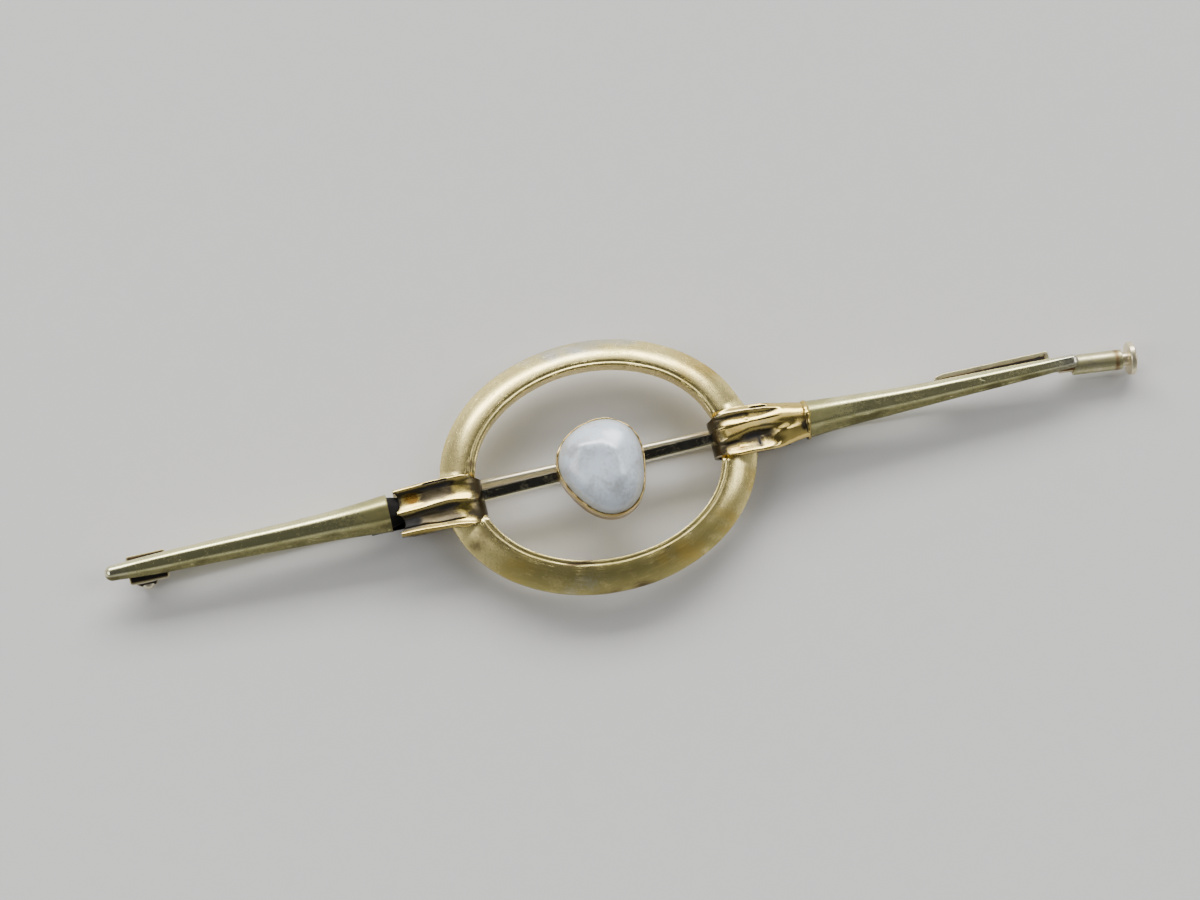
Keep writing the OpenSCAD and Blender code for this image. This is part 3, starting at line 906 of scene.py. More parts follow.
@dataclass
class Arm:
    """One tapering arm: round above, flattened in front, faceted below and flat behind."""

    side: Side
    # Its upper and lower edge in Y at places along X, from its root outwards
    places: Places
    top: Places
    bottom: Places
    tip: float = 29.3
    tip_radius: float = 0.42
    # Each flat: its turn from the front in degrees, and its depth as a share of the radius
    flats: tuple[Places, ...] = ((180.0, 0.7), (-52.0, 0.9), (-6.0, 0.935))
    sharpness: float = 36.0
    tip_dip: float = -0.065
    # Where the disc of painted shadow that closes the root ends
    shadow_plug_end: float = 12.0
    steps: int = 460
    tip_steps: int = 26
    columns: int = 160
    # Each scratch: its line of X, Y pairs
    scratches: tuple[Places, ...] = ()

    def outline(self, turn: Array, tipped: Array) -> Array:
        """The section's radius: a soft minimum of a circle and its flats.

        It is (1 + sum of (cos(turn - flat) / share)^k)^(-1/k). The front flat sinks deeper
        by tip_dip towards the tip, where it leaves a narrow rim, or fades out.

        Args:
            turn: directions from the arm's middle line, in radians from the front.
            tipped: how near each section lies to the tip, as a share.

        Returns:
            A row for each section, as shares of its half height.
        """
        total = np.ones((len(tipped), len(turn)))
        for place, share in self.flats:
            lean = np.clip(np.cos(turn - math.radians(place)), 0, 1)[None, :]
            depth = share - (self.tip_dip * tipped[:, None] if abs(place) < 20 else 0.0)
            total += (lean / depth) ** self.sharpness
        return total ** (-1 / self.sharpness)

    def build(self, finishes: Finishes) -> None:
        """Lofts the section between the arm's upper and lower edge and rounds the tip.

        Args:
            finishes: the brooch's finishes.
        """
        root, start = self.places[0], self.tip - self.tip_radius
        x = np.linspace(root, start, self.steps)[:-1]
        x = np.r_[x, start + self.tip_radius * np.sin(np.linspace(0, math.pi / 2, self.tip_steps))]
        top, bottom = follow(x, self.places, self.top), follow(x, self.places, self.bottom)
        round_off = np.sqrt(np.clip(1 - np.clip((x - start) / self.tip_radius, 0, 1) ** 2, 0, 1))
        middle, half = (top + bottom) / 2, (top - bottom) / 2 * round_off
        turn = full_turn(self.columns)
        reach = half[:, None] * self.outline(turn, ease(x, self.tip - 2.5, self.tip - 0.5))
        across = middle[:, None] + reach * np.sin(turn)
        points = np.dstack([np.broadcast_to(x[:, None], reach.shape), across, reach * np.cos(turn)])
        points[..., 1:] *= (1 + 0.005 * ripple(points, 2.6, 11 + self.side.value))[..., None]
        points[..., 0] *= self.side.value
        wear = sum(hump(off_line(points, line), 0.0, 0.04) for line in self.scratches)
        points[..., 2] -= 0.02 * wear * (points[..., 2] > 0)
        # A disc closes the root, and it and the first rim rows are marked darkest: painted shadow
        # in the collar's open end
        rim = points[:1] * [1, 0.92, 0.92]
        shadow_plug = rim * [0, 0.6, 0.6] + [self.shadow_plug_end * self.side.value, 0, 0]
        points = np.concatenate([shadow_plug, rim * [1, 0.9, 0.9], rim, points])
        inside = np.r_[1.0, 1.0, 0.4, np.zeros(len(points) - 3)][:, None]
        outward = np.abs(points[..., 0])
        # The lower side is marked darker and given more patina: painted shade
        under = ease(-np.sin(turn), 0.35, 0.85)[None, :]
        tarnish = inside + 0.4 * hump(outward, root, 0.12) * (np.sin(3 * turn + 1) > 0.3)
        tarnish = tarnish + 0.12 * np.clip(ripple(points, 1.8, 14), 0, 1) + 0.36 * under
        hue = 0.22 * hump(outward, root + 0.4, 1.6) - 0.5 * hump(outward, self.tip, 2.0)
        hue = hue - 0.2 * (points[..., 0] > 0)
        name = "left_arm" if self.side is Side.HINGE else "right_arm"
        ends = (True, True)
        patina = 0.9 * under + 0.9 * hump(outward, root, 2.2) * (1 - under)
        arm = Surface(name, points, (False, True), ends, tarnish, hue, patina, crease=40)
        arm.build_gold(finishes.arm)


@dataclass(frozen=True)
class Ridge:
    """A ridge along a collar: its line, how high it stands, and its width above and below."""

    places: Places
    heights: Places
    height: float
    above: float
    below: float
    start: float = 0.0


@dataclass(frozen=True)
class Sheet:
    """A collar's sheet before it takes on depth: one row for each step of its path.

    Args:
        path: the path's points in X and W.
        normal: its outward normals.
        x: each point's place along the brooch.
        y: each point's place across it.
        across: each point's place between the lower edge, -1, and the upper edge, 1.
        skirt: how far down the turned-down side a point lies, as a share.
        behind: whether the row lies behind the ring.
        front: whether the point lies in front and not on a skirt.
        flutes: how deep in a flute the point lies, as a share.
        barrel: how far the flutes have given way to the dome.
        slit: how deep in the slit of the upper lip the point lies, as a share.
    """

    path: Array
    normal: Array
    x: Array
    y: Array
    across: Array
    skirt: Array
    behind: Array
    front: Array
    flutes: Array
    barrel: Array
    slit: Array


@dataclass
class Collar:
    """A fluted strap that wraps round the ring: one sheet with turned-down sides.

    The sheet runs from the arm over the ring's band, round its inner edge and back behind it.
    Its height over the middle plane is the path's, less the flutes' depth between its ridges.
    """

    side: Side
    # The strap's outer line in front, from the arm inwards: pairs of X and W
    front: tuple[tuple[float, float], ...]
    # Its upper and lower edge: places along X, and their Y
    top: tuple[Places, Places]
    bottom: tuple[Places, Places]
    ridges: tuple[Ridge, ...]
    # The slit in the upper lip: its line of X, Y pairs
    slit: Places
    slit_width: float = 0.045
    slit_depth: float = 0.1
    fold_radius: float = 1.39
    fold_depth: float = -0.12
    # Where the fold round the ring's inner edge begins and ends, in degrees from outwards
    fold_turn: tuple[float, float] = (80.0, 228.0)
    # How far before the fold's inmost point the flutes start to fade, and where they end
    fade: tuple[float, float] = (2.3, 0.3)
    inner_end: float = 6.93
    back: float = 0.98
    back_half: float = 1.05
    # Where the strap narrows to its tongue behind, and where that ends
    tongue_from: tuple[float, float] = (11.4, 11.9)
    tongue_end: float = 13.8
    tongue_half: float = 0.6
    flute_depth: float = 0.28
    # Where the flutes are kept bright as a painted highlight over the ring's crest: its middle
    # along X, and its reach
    painted_highlight_band: tuple[float, float] = (8.3, 0.35)
    # How deep the skirts are in front and behind, where the strap leaves the band outwards, and
    # how far the lower and the upper skirt lean in from there on
    skirt_front: float = 0.42
    skirt_behind: float = 0.2
    band_edge: tuple[float, float] = (9.1, 9.7)
    leans: tuple[float, float] = (-0.3, 0.05)
    crown_height: float = 0.9
    thickness: float = 0.1
    # The dome begins here, and ends the flutes over barrel_run. 99 is for a collar without one
    barrel_from: float = 99.0
    barrel_run: float = 1.4
    # Each flute's open end: its middle across the face, its half width and its depth
    scallops: tuple[Places, ...] = ()
    # Dark patches: tarnishing, and painted shade on flute flanks, below ridges and in open ends
    browned_and_shaded: tuple[Patch, ...] = ()
    # Gilt patches, some of them painted reflections
    gilded: tuple[Patch, ...] = ()
    dents: tuple[Patch, ...] = ()
    # Each crease across the flutes: its line of X, Y pairs
    creases: tuple[Places, ...] = ()
    step: float = 0.045
    columns: int = 119
    skirt_rows: int = 12

    def path(self) -> Array:
        """The strap's outer line in X and W, from the arm to the tongue's end.

        Returns:
            The points, in even steps.
        """
        radius = self.fold_radius
        centre = self.inner_end + radius
        arc = [
            (centre + radius * math.cos(turn), self.fold_depth + radius * math.sin(turn))
            for turn in np.radians(np.linspace(*self.fold_turn, 24))
        ]
        behind = [(8.0, -self.back), (self.tongue_end, -self.back)]
        return even_path([*self.front, *arc, *behind], self.step, 2 * self.step)

    def edges(self, x: Array, turned: Array) -> tuple[Array, Array]:
        """The strap's lower and upper edge in Y, which even out behind the ring.

        Args:
            x: places along the brooch.
            turned: how far the strap has turned behind the ring there, as a share.

        Returns:
            The lower and the upper edge.
        """
        low, high = follow(x, *self.bottom), follow(x, *self.top)
        tongue = ease(x, *self.tongue_from)
        middle = (self.bottom[1][-1] + self.top[1][-1]) / 2
        half = self.back_half * (1 - tongue) + self.tongue_half * tongue
        low = low * (1 - turned) + (middle - half) * turned
        return low, high * (1 - turned) + (middle + half) * turned

    def flutes(self, x: Array, y: Array) -> Array:
        """How far each point lies under the ridges, as a share of the flutes' depth.

        It is the least over the ridges of 1 - height * (f(d / width) + f(d / 3 width)) / 2,
        where f is exp(-d^1.6) and the width differs above and below the ridge.

        Args:
            x: each point's place along the brooch.
            y: its place across it.

        Returns:
            0 on a ridge, up to 1 at the bottom of a flute.
        """
        depth = np.ones_like(y)
        for ridge in self.ridges:
            off = y - follow(x, ridge.places, ridge.heights)
            off = np.abs(off) / np.where(off > 0, ridge.above, ridge.below)
            fall = 0.5 * np.exp(-(off**1.6)) + 0.5 * np.exp(-((off / 3) ** 1.6))
            height = ridge.height * ease(x, ridge.start - 0.35, ridge.start + 0.35)
            depth = np.minimum(depth, 1 - height * fall)
        return depth

    def lay_out(self) -> Sheet:
        """The sheet's places along its path and across it, with a skirt on both sides.

        Returns:
            The sheet, before it takes on depth.
        """
        path = self.path()
        normal = side_of(path)
        normal *= np.sign(normal[0, 1])
        reach = lengths(path)
        turning = int(np.argmin(path[:, 0]))
        behind = (np.arange(len(path)) > turning)[:, None]
        turned = ease(reach, *(reach[turning] - before for before in self.fade))[:, None]
        drop = np.linspace(1, 1 / self.skirt_rows, self.skirt_rows)
        share = np.r_[np.zeros(len(drop)), np.linspace(0, 1, self.columns), np.ones(len(drop))]
        skirt = np.r_[drop, np.zeros(self.columns), drop[::-1]][None, :]
        x = np.broadcast_to(path[:, :1], (len(path), len(share)))
        low, high = self.edges(path[:, :1], turned)
        y = low + (high - low) * share[None, :]
        front = ~behind & (skirt == 0)
        flutes = self.flutes(x, y) * (1 - turned)
        barrel = ease(x, self.barrel_from, self.barrel_from + self.barrel_run) * ~behind
        line = np.asarray(self.slit).reshape(-1, 2)
        slit = hump(y, np.interp(x, line[:, 0], line[:, 1]), self.slit_width)
        slit = slit * span(x, line[0, 0], line[-1, 0]) * front
        across = 2 * share[None, :] - 1
        return Sheet(path, normal, x, y, across, skirt, behind, front, flutes, barrel, slit)

    def shape(self, s: Sheet) -> Array:
        """The points: flutes, crown, skirts and slit sink in along the path's normal.

        The crown is crown_height * (1 - sqrt(1 - across^2)), a half round section.

        Args:
            s: the sheet.

        Returns:
            The points in millimetres, for a collar at the catch's end.
        """
        along, height = s.path[:, :1], s.path[:, 1:]
        round_off = np.sqrt(np.clip(1 - (0.97 * s.across) ** 2, 0, 1))
        crown = self.crown_height * s.barrel * (1 - round_off)
        # Over the band the skirts are shallow, and beyond it they reach down to its back
        deep = self.skirt_front + (height + 0.5) * ease(along, *self.band_edge)
        deep = np.where(s.behind, self.skirt_behind, deep)
        depth = s.flutes * self.flute_depth * (1 - s.barrel) + crown
        depth = depth + s.skirt * np.maximum(deep - crown, 0.05) + self.slit_depth * s.slit
        lean = np.where(s.across < 0, *self.leans) * ease(along, 9.0, 9.7) * ~s.behind
        x, w = along - s.normal[:, :1] * depth, height - s.normal[:, 1:] * depth
        points = np.dstack([x, s.y - lean * s.skirt, w])
        for middle, half, recess in self.scallops:
            notch = np.sqrt(np.clip(1 - ((s.y - middle) / half) ** 2, 0, 1)) * (s.skirt == 0)
            points[..., 0] -= recess * notch * ease(points[..., 0], 10.6, 12.1) * ~s.behind
        crease = sum((hump(off_line(points, c), 0.0, 0.07) for c in self.creases), 0.0 * s.y)
        uneven = ripple(points, 1.2, 21 + self.side.value) * (1 - 0.75 * s.barrel)
        points[..., 2] += (0.018 * uneven * s.flutes + 0.035 * crease * s.flutes) * s.front
        for dent in self.dents:
            points[..., 2] += oval(points, dent) * s.front
        points[..., 1:] += 0.008 * ripple(points, 2.2, 25)[..., None] * [1.0, 0.6]
        return points

    def wear(self, s: Sheet, points: Array) -> tuple[Array, Array, Array]:
        """Its tarnish, hue and patina: grime and painted shade in the flutes, and gilt patches.

        Painted shade also darkens the skirts, the slit, the inner bend and the parts behind the
        ring; the flutes stay bright over the ring's crest as a painted highlight, and some gilt
        patches are painted reflections.

        Args:
            s: the sheet.
            points: its points in millimetres.

        Returns:
            The tarnish, the hue and the patina of each point.
        """
        gilding = patches(points, self.gilded) * s.front
        inner = (1 - ease(s.path[:, :1], self.inner_end + 0.05, 7.9)) * s.front
        painted_highlight_band = 0.5 * hump(s.x, *self.painted_highlight_band) + 0.6 * np.clip(gilding, 0, 0.8)
        # Flute floors are marked dark, grime and painted shade, less in the band of painted
        # highlight and on gilt patches
        tarnish = (0.62 - np.clip(painted_highlight_band, 0, 0.6)) * s.flutes * (1 - s.barrel)
        # Skirts, the parts behind the ring and the slit are marked dark: painted shade
        tarnish = tarnish + 0.24 * (s.skirt > 0) + 0.24 * s.behind + 0.95 * s.slit
        # The inner bend round the ring's edge is marked dark: painted shade
        tarnish = tarnish + 0.5 * inner + patches(points, self.browned_and_shaded) * s.front
        # Behind the ring near the arm the strap goes darkest: painted shadow in the open end
        tarnish = tarnish + s.behind * ease(points[..., 0], 11.0, 11.6)
        # Crests are tinted silvery, the whiter tone of their painted highlights
        silvered = 0.35 * (1 - s.flutes) * (1 - s.barrel) * s.front
        hue = gilding - silvered - 0.25 * inner - 0.2 * (s.skirt > 0)
        patina = s.flutes * (1 - s.barrel) - 0.4 - 0.5 * s.barrel
        return np.clip(tarnish, 0, 1), hue, patina

    def build(self, finishes: Finishes) -> None:
        """Lays the sheet out, shapes it, wears it down and thickens it.

        Args:
            finishes: the brooch's finishes.
        """
        sheet = self.lay_out()
        points = self.shape(sheet)
        marks = self.wear(sheet, points)
        points[..., 0] *= self.side.value
        name = "left_collar" if self.side is Side.HINGE else "right_collar"
        ends = (False, False)
        collar = Surface(name, points, ends, ends, *marks, wall=self.thickness, crease=80)
        collar.build_gold(finishes.collar)


@dataclass
class SolderRing:
    """The uneven run of solder between the right collar and its arm."""

    x: float = 12.5
    y: float = -0.02
    radius: float = 1.0
    thickness: float = 0.17
    grid: tuple[int, int] = (180, 24)

    def build(self, finishes: Finishes) -> None:
        """A ring whose thickness swells and shrinks: R + r cos, r sin, with an uneven r.

        Args:
            finishes: the brooch's finishes.
        """
        turn, around = full_turn(self.grid[0])[:, None], full_turn(self.grid[1])[None, :]
        swell = 0.25 * np.sin(2 * turn + 0.6) + 0.16 * np.sin(7 * turn) + 0.1 * np.sin(13 * turn)
        thick = self.thickness * (1 + swell)
        reach = self.radius + thick * np.cos(around)
        x = self.x + thick * np.sin(around) + 0.05 * np.sin(2 * turn)
        points = np.dstack([x, self.y + reach * np.sin(turn), reach * np.cos(turn)])
        dirt_and_shade = 0.3 * np.clip(np.sin(turn + 2.6), 0, 1) + 0.25 * (np.sin(around) < -0.3)
        ring = Surface("solder_ring", points, (True, True), tarnish=dirt_and_shade, hue=0.1)
        ring.build_gold(finishes.collar)


@dataclass
class FrontBar:
    """The square bar between the collars, which carries the collet."""

    half: float = 7.03
    size: float = 0.63
    height: float = -0.13
    slope: float = 1.4
    steps: int = 420

    def build(self, finishes: Finishes) -> None:
        """Sweeps a rounded square along a sloping line.

        Args:
            finishes: the brooch's finishes.
        """
        edge = self.size / 2
        corners = [(-edge, -edge), (edge, -edge), (edge, edge), (-edge, edge)]
        loop = rounded_loop(corners, 0.016, 0.035)
        along = np.linspace(-self.half, self.half, self.steps)[:, None]
        shape = (len(along), len(loop))
        y, w = np.broadcast_to(loop[:, 0], shape), np.broadcast_to(loop[:, 1], shape)
        points = np.dstack([np.broadcast_to(along, shape), y, w])
        points[..., 1:] += 0.006 * ripple(points, 3.0, 31)[..., None]
        points[..., 1] += self.height + along * math.tan(math.radians(self.slope))
        # The front face is marked dark, a painted dark reflection, and the underside a little, a
        # painted shade
        face = (w > edge - 0.05) * ease(y, -edge + 0.02, -edge + 0.12)
        below = (y < -edge + 0.05) * (w < edge - 0.06)
        tarnish = 0.5 * face + 0.12 * below + 0.1 * ripple(points, 1.2, 32)
        tarnish = np.clip(tarnish, 0, 0.85)
        bar = Surface("front_bar", points, (False, True), (True, True), tarnish, -0.3)
        bar.build_gold(finishes.bar)


@dataclass
class Setting:
    """The collet and the baroque pearl in it, which share one outline."""

    radius: float = 2.76
    long_share: float = 0.068
    long_angle: float = -82.0
    corner_share: float = 0.053
    corner_angle: float = 43.0
    x: float = 0.15
    y: float = -0.35
    wall: float = 0.16
    bottom: float = 0.05
    rim: float = 1.6
    crown: float = 3.15
    seat: float = 0.6
    collet_columns: int = 360
    pearl_columns: int = 240

    def outline(self, turn: Array) -> Array:
        """The outline's radius: R (1 + long cos 2(t - a) + corner cos 3(t - b)).

        Args:
            turn: directions from the setting's middle, in radians.

        Returns:
            One radius for each direction.
        """
        long_part = self.long_share * np.cos(2 * (turn - math.radians(self.long_angle)))
        corners = self.corner_share * np.cos(3 * (turn - math.radians(self.corner_angle)))
        return self.radius * (1 + long_part + corners)

    def place(self, reach: Array, turn: Array, height: Array) -> Array:
        """Points at a distance and a direction from the setting's middle.

        Args:
            reach: each point's distance from the middle.
            turn: its direction, in radians.
            height: its height over the brooch's middle plane.

        Returns:
            The points.
        """
        x = self.x + reach * np.cos(turn)
        y = self.y + reach * np.sin(turn)
        return np.dstack([x, y, np.broadcast_to(height, reach.shape)])

    def build_collet(self, finishes: Finishes) -> None:
        """The wall round the pearl: its rim leans in and is a little uneven.

        Args:
            finishes: the brooch's finishes.
        """
        turn = full_turn(self.collet_columns)[:, None]
        corners = [
            (0.5, 0.5), (self.wall, 0.55), (self.wall, 1.3), (self.wall + 0.03, self.rim),
            (0.06, self.rim + 0.01), (0.0, 1.35), (0.0, 0.3), (0.05, self.bottom),
            (1.2, self.bottom),
        ]
        profile = even_path(corners, 0.02, 0.035)
        depth, height = profile[None, :, 0], profile[None, :, 1]
        share = ease(height, 0.8, self.rim)
        uneven = 0.035 * np.sin(5 * turn + 0.4) + 0.025 * np.sin(9 * turn + 2)
        uneven = (uneven + 0.02 * np.sin(17 * turn)) * share
        reach = self.outline(turn) - depth + 0.3 * uneven
        points = self.place(reach, turn, height + uneven)
        tarnish = 0.8 * (depth > 0.1) * (height < 1.5)
        tarnish = tarnish + 0.34 * (1 - ease(height, 0.9, 1.5)) * (depth < 0.1)
        hue = 0.22 * (1 - share) + 0.2 * ripple(points, 2.0, 43)
        collet = Surface("collet", points, (True, False), tarnish=np.clip(tarnish, 0, 1), hue=hue)
        collet.build_gold(finishes.collet)

    def build_pearl(self, finishes: Finishes) -> None:
        """The pearl: a blunt dome over a rounded seat, with a ledge along its right shoulder.

        The distance from the middle is outline * cos(t)^0.9, the height is sin(t) above and
        below the waist, and bells round a bent line raise the ledge.

        Args:
            finishes: the brooch's finishes.
        """
        t = np.radians(np.r_[np.linspace(-88, 84, 140), np.linspace(84.5, 89.9, 16)])[None, :]
        turn = full_turn(self.pearl_columns)[:, None]
        waist = self.rim - 0.1
        upper, lower = self.crown - 0.12 - waist, waist - self.seat
        height = waist + np.where(t < 0, lower, upper) * np.sin(t)
        reach = (self.outline(turn) - self.wall + 0.02) * np.cos(t) ** 0.9
        points = self.place(reach, turn, height)
        above = ease(points[..., 2], waist, waist + 0.8)
        off = off_line(points, (-1.0, 0.8, 0.15, 0.65, 0.85, 0.05, 0.9, -1.3))
        dent = oval(points, (-0.7, -0.6, 0.9, 0.9, 0.08))
        points[..., 2] += above * (0.15 * hump(off, 0.0, 0.5) - dent)
        points[..., 2] += 0.02 * above * ripple(points, 2.4, 41)
        points[..., :2] += 0.010 * above[..., None] * ripple(points, 1.4, 42)[..., None]
        points[..., 2] = np.minimum(points[..., 2], self.crown)
        grid = points.transpose(1, 0, 2)
        # Greyer towards the waist: painted shade on the pearl's flanks
        painted_rim_shade = 0.9 * (1 - ease(grid[..., 2], waist, waist + 1.1))
        pearl = Surface("baroque_pearl", grid, (False, True), (True, True), painted_rim_shade, crease=180)
        pearl.build(finishes.nacre, Slot.PEARL, "pearl")

    def build(self, finishes: Finishes) -> None:
        """Makes both."""
        self.build_collet(finishes)
        self.build_pearl(finishes)


@dataclass
class Plate:
    """A flat piece with rounded edges, from an outline and a thickness along one axis.

    Args:
        name: the piece's name.
        corners: the outline's corners, in the two axes that the plate lies in.
        low: its lowest place along the third axis.
        high: its highest place there.
        axis: that axis: 1 for Y or 2 for W.
        rounding: blur of the outline's corners.
        bevel: the rounding of its edges.
        unshaded_border: how far in from its edges the bright border round the painted shade
            reaches.
    """

    name: str
    corners: list[tuple[float, float]]
    low: float
    high: float
    axis: int = 2
    rounding: float = 0.08
    bevel: float = 0.06
    unshaded_border: float = 0.02

    def build(self, finishes: Finishes) -> None:
        """Stacks the outline along the axis, drawn in by a quarter circle at both edges.

        Args:
            finishes: the brooch's finishes.
        """
        loop = rounded_loop(self.corners, 0.04, self.rounding)
        inwards = side_of(np.vstack([loop[-1:], loop, loop[:1]]))[1:-1]
        following = np.roll(loop, -1, axis=0)
        area = float((loop[:, 0] * following[:, 1] - loop[:, 1] * following[:, 0]).sum())
        inwards *= 1 if area > 0 else -1
        arc = np.linspace(0, math.pi / 2, 6)
        border = np.array([self.unshaded_border + 0.05, self.unshaded_border]) + self.bevel
        round_in, round_out = self.bevel * (1 - np.sin(arc)), self.bevel * (1 - np.cos(arc))
        depths = np.r_[border, round_in, round_out, border[::-1]]
        places = np.r_[self.low, self.low, self.low + round_out, self.high - round_out[::-1]]
        places = np.r_[places, self.high, self.high]
        flat = loop[None] + inwards[None] * depths[:, None, None]
        order = [flat[..., 0], flat[..., 1]]
        order.insert(self.axis, np.broadcast_to(places[:, None], flat.shape[:2]))
        points = np.dstack(order)
        points += 0.005 * ripple(points, 1.2, 51)[..., None]
        # The face inside the border is marked dark: painted shade
        shaded_face = (depths > self.unshaded_border + self.bevel + 0.02)[:, None]
        tarnish = 0.12 + 0.75 * shaded_face + 0.1 * ripple(points, 1.8, 52)
        plate = Surface(self.name, points, (False, True), (True, True), np.clip(tarnish, 0, 1))
        plate.build_gold(finishes.plate)


@dataclass
class HingeJoint:
    """The plate and the two ears that hold the pin's rivet."""

    rivet: float = -27.05
    rivet_depth: float = -1.35
    ear_radius: float = 0.55
    # Each ear's lower and upper face in Y, and the plate's two ends in X
    ears: tuple[Places, ...] = ((-0.9, -0.6), (0.49, 0.79))
    ends: tuple[float, float] = (-28.0, -25.7)
    # The ears' foot in the plate: its half length and its W
    foot_half: float = 0.7
    foot: float = -0.5

    def build(self, finishes: Finishes) -> None:
        """A plate on the arm's flat back, and an ear on each of its long edges.

        Args:
            finishes: the brooch's finishes.
        """
        (left, right), low, high = self.ends, self.ears[0][0], self.ears[1][1]
        corners = [(left, low), (right, low), (right, high), (left, high)]
        plate = Plate("hinge_plate", corners, *PLATE_DEPTHS, rounding=0.1, bevel=0.04, unshaded_border=0.03)
        plate.build(finishes)
        turn = np.radians(np.linspace(180, 360, 13))
        x = self.rivet + self.ear_radius * np.cos(turn)
        w = self.rivet_depth + self.ear_radius * np.sin(turn)
        ear = [*zip(x, w), (self.rivet + self.foot_half, self.foot)]
        ear += [(self.rivet - self.foot_half, self.foot)]
        for name, (low, high) in zip(("lower_ear", "upper_ear"), self.ears):
            Plate(name, ear, low, high, axis=1, rounding=0.05).build(finishes)


@dataclass
class Catch:
    """The catch: a plate and a tube on the arm, and the tube that slides in it."""

    x: float = 31.8
    y: float = -0.35
    w: float = -0.9
    skew: float = 5.5
    radius: float = 0.6
    wall: float = 0.17
    length: float = 4.0
    closed_length: float = 2.75
    mouth: float = 0.25
    sleeve_radius: float = 0.4
    sleeve_bore: float = 0.27
    sleeve_length: float = 3.6
    neck: float = 0.6
    head_radius: float = 1.0
    head_length: float = 0.6
    head_dome: float = 0.25
    # The gutter's half width, in degrees round the tube, and its points across and along
    gutter_half: float = 42.0
    gutter_grid: tuple[int, int] = (33, 40)
    columns: int = 96

    def along(self, points: Array) -> Array:
        """Turns points from the tube's own frame, X out along it, into the brooch's.

        Args:
            points: places in the tube's own frame.

        Returns:
            The same places in the brooch's frame.
        """
        c, s = math.cos(math.radians(-self.skew)), math.sin(math.radians(-self.skew))
        x = self.x + points[..., 0] * c - points[..., 1] * s
        y = self.y + points[..., 0] * s + points[..., 1] * c
        return np.dstack([x, y, self.w + points[..., 2]])

    def turned(self, profile: Array) -> Array:
        """A profile of places along the tube and radii, carried round its axis.

        Args:
            profile: pairs of a place along the tube and a radius.

        Returns:
            A grid of points, with a row for each pair.
        """
        turn = full_turn(self.columns)[None, :]
        x = np.broadcast_to(profile[:, :1], (len(profile), self.columns))
        across = np.dstack([profile[:, 1:] * np.sin(turn), profile[:, 1:] * np.cos(turn)])
        return self.along(np.dstack([x, across]))

    def build(self, finishes: Finishes) -> None:
        """The plate, the tube's closed stretch, its open stretch and the slider.

        Args:
            finishes: the brooch's finishes.
        """
        strip = [(20.6, 0.7), (20.75, 0.92), (21.2, 1.0), (27.6, 1.0), (27.7, 0.9)]
        strip += [(27.7, -0.35), (20.6, -0.35)]
        plate = Plate("catch_plate", strip, *PLATE_DEPTHS, rounding=0.06, bevel=0.05, unshaded_border=0.2)
        plate.build(finishes)
        inner, start = self.radius - self.wall, -self.closed_length
        corners = [(start, inner), (self.mouth - 0.02, inner)]
        corners += [(self.mouth, self.radius), (start, self.radius)]
        profile = rounded_loop(corners, 0.03, 0.03)
        x, radius = profile[:, :1], profile[:, 1:]
        # The bore is marked darkest: painted shadow inside the tube
        tarnish = 0.04 + 0.36 * hump(x, -0.1, 0.22) + 0.9 * (radius < inner + 0.03)
        marks = {"tarnish": np.clip(tarnish, 0, 1), "hue": -0.3, "patina": 0.4}
        tube = Surface("catch_tube", self.turned(profile), (True, True), **marks)
        tube.build_gold(finishes.plate)
        across = np.linspace(-self.gutter_half, self.gutter_half, self.gutter_grid[0])
        turn = np.radians(across)[:, None]
        back = np.linspace(-self.length, start + 0.05, self.gutter_grid[1])[None, :]
        grid = np.broadcast_arrays(back, self.radius * np.sin(turn), self.radius * np.cos(turn))
        # The gutter under the arm is marked dark: painted shadow
        gutter = Surface("catch_gutter", self.along(np.dstack(grid)), tarnish=0.45, wall=self.wall)
        gutter.build_gold(finishes.plate)
        self.build_slider(finishes)

    def build_slider(self, finishes: Finishes) -> None:
        """The sliding tube with its neck and its domed head, turned as one.

        Args:
            finishes: the brooch's finishes.
        """
        rim = self.neck + self.head_length - self.head_dome
        rise = np.linspace(0, 1, 14)
        dome = zip(rim + self.head_dome * (1 - (1 - rise) ** 2), self.head_radius * (1 - rise))
        corners = [(-0.5, 0.01), (-0.5, self.sleeve_bore), (-self.sleeve_length, self.sleeve_bore)]
        corners += [(-self.sleeve_length, self.sleeve_radius), (self.neck, self.sleeve_radius)]
        corners += [(self.neck + 0.03, self.head_radius - 0.06)]
        corners += [(self.neck + 0.1, self.head_radius), *list(dome)[:-1]]
        corners += [(rim + self.head_dome, 0.01)]
        profile = even_path(corners, 0.02, 0.025)
        profile[:, 1] = np.clip(profile[:, 1], 0.004, self.head_radius)
        x, radius = profile[:, :1], profile[:, 1:]
        tarnish = 0.6 * span(x, 0.0, self.neck, 0.1) * (radius < 0.9)
        # The bore is marked darkest: painted shadow inside the sleeve
        tarnish = tarnish + 0.9 * (radius < self.sleeve_bore + 0.03) * (x < 0)
        tarnish = tarnish + 0.15 * hump(radius, self.head_radius, 0.12)
        marks = {"tarnish": np.clip(tarnish, 0, 1), "hue": -0.2, "crease": 60}
        slider = Surface("slider_tube", self.turned(profile), (False, True), (True, True), **marks)
        slider.build(finishes.slider, Slot.SLIDER, "catch_slider", "slider")


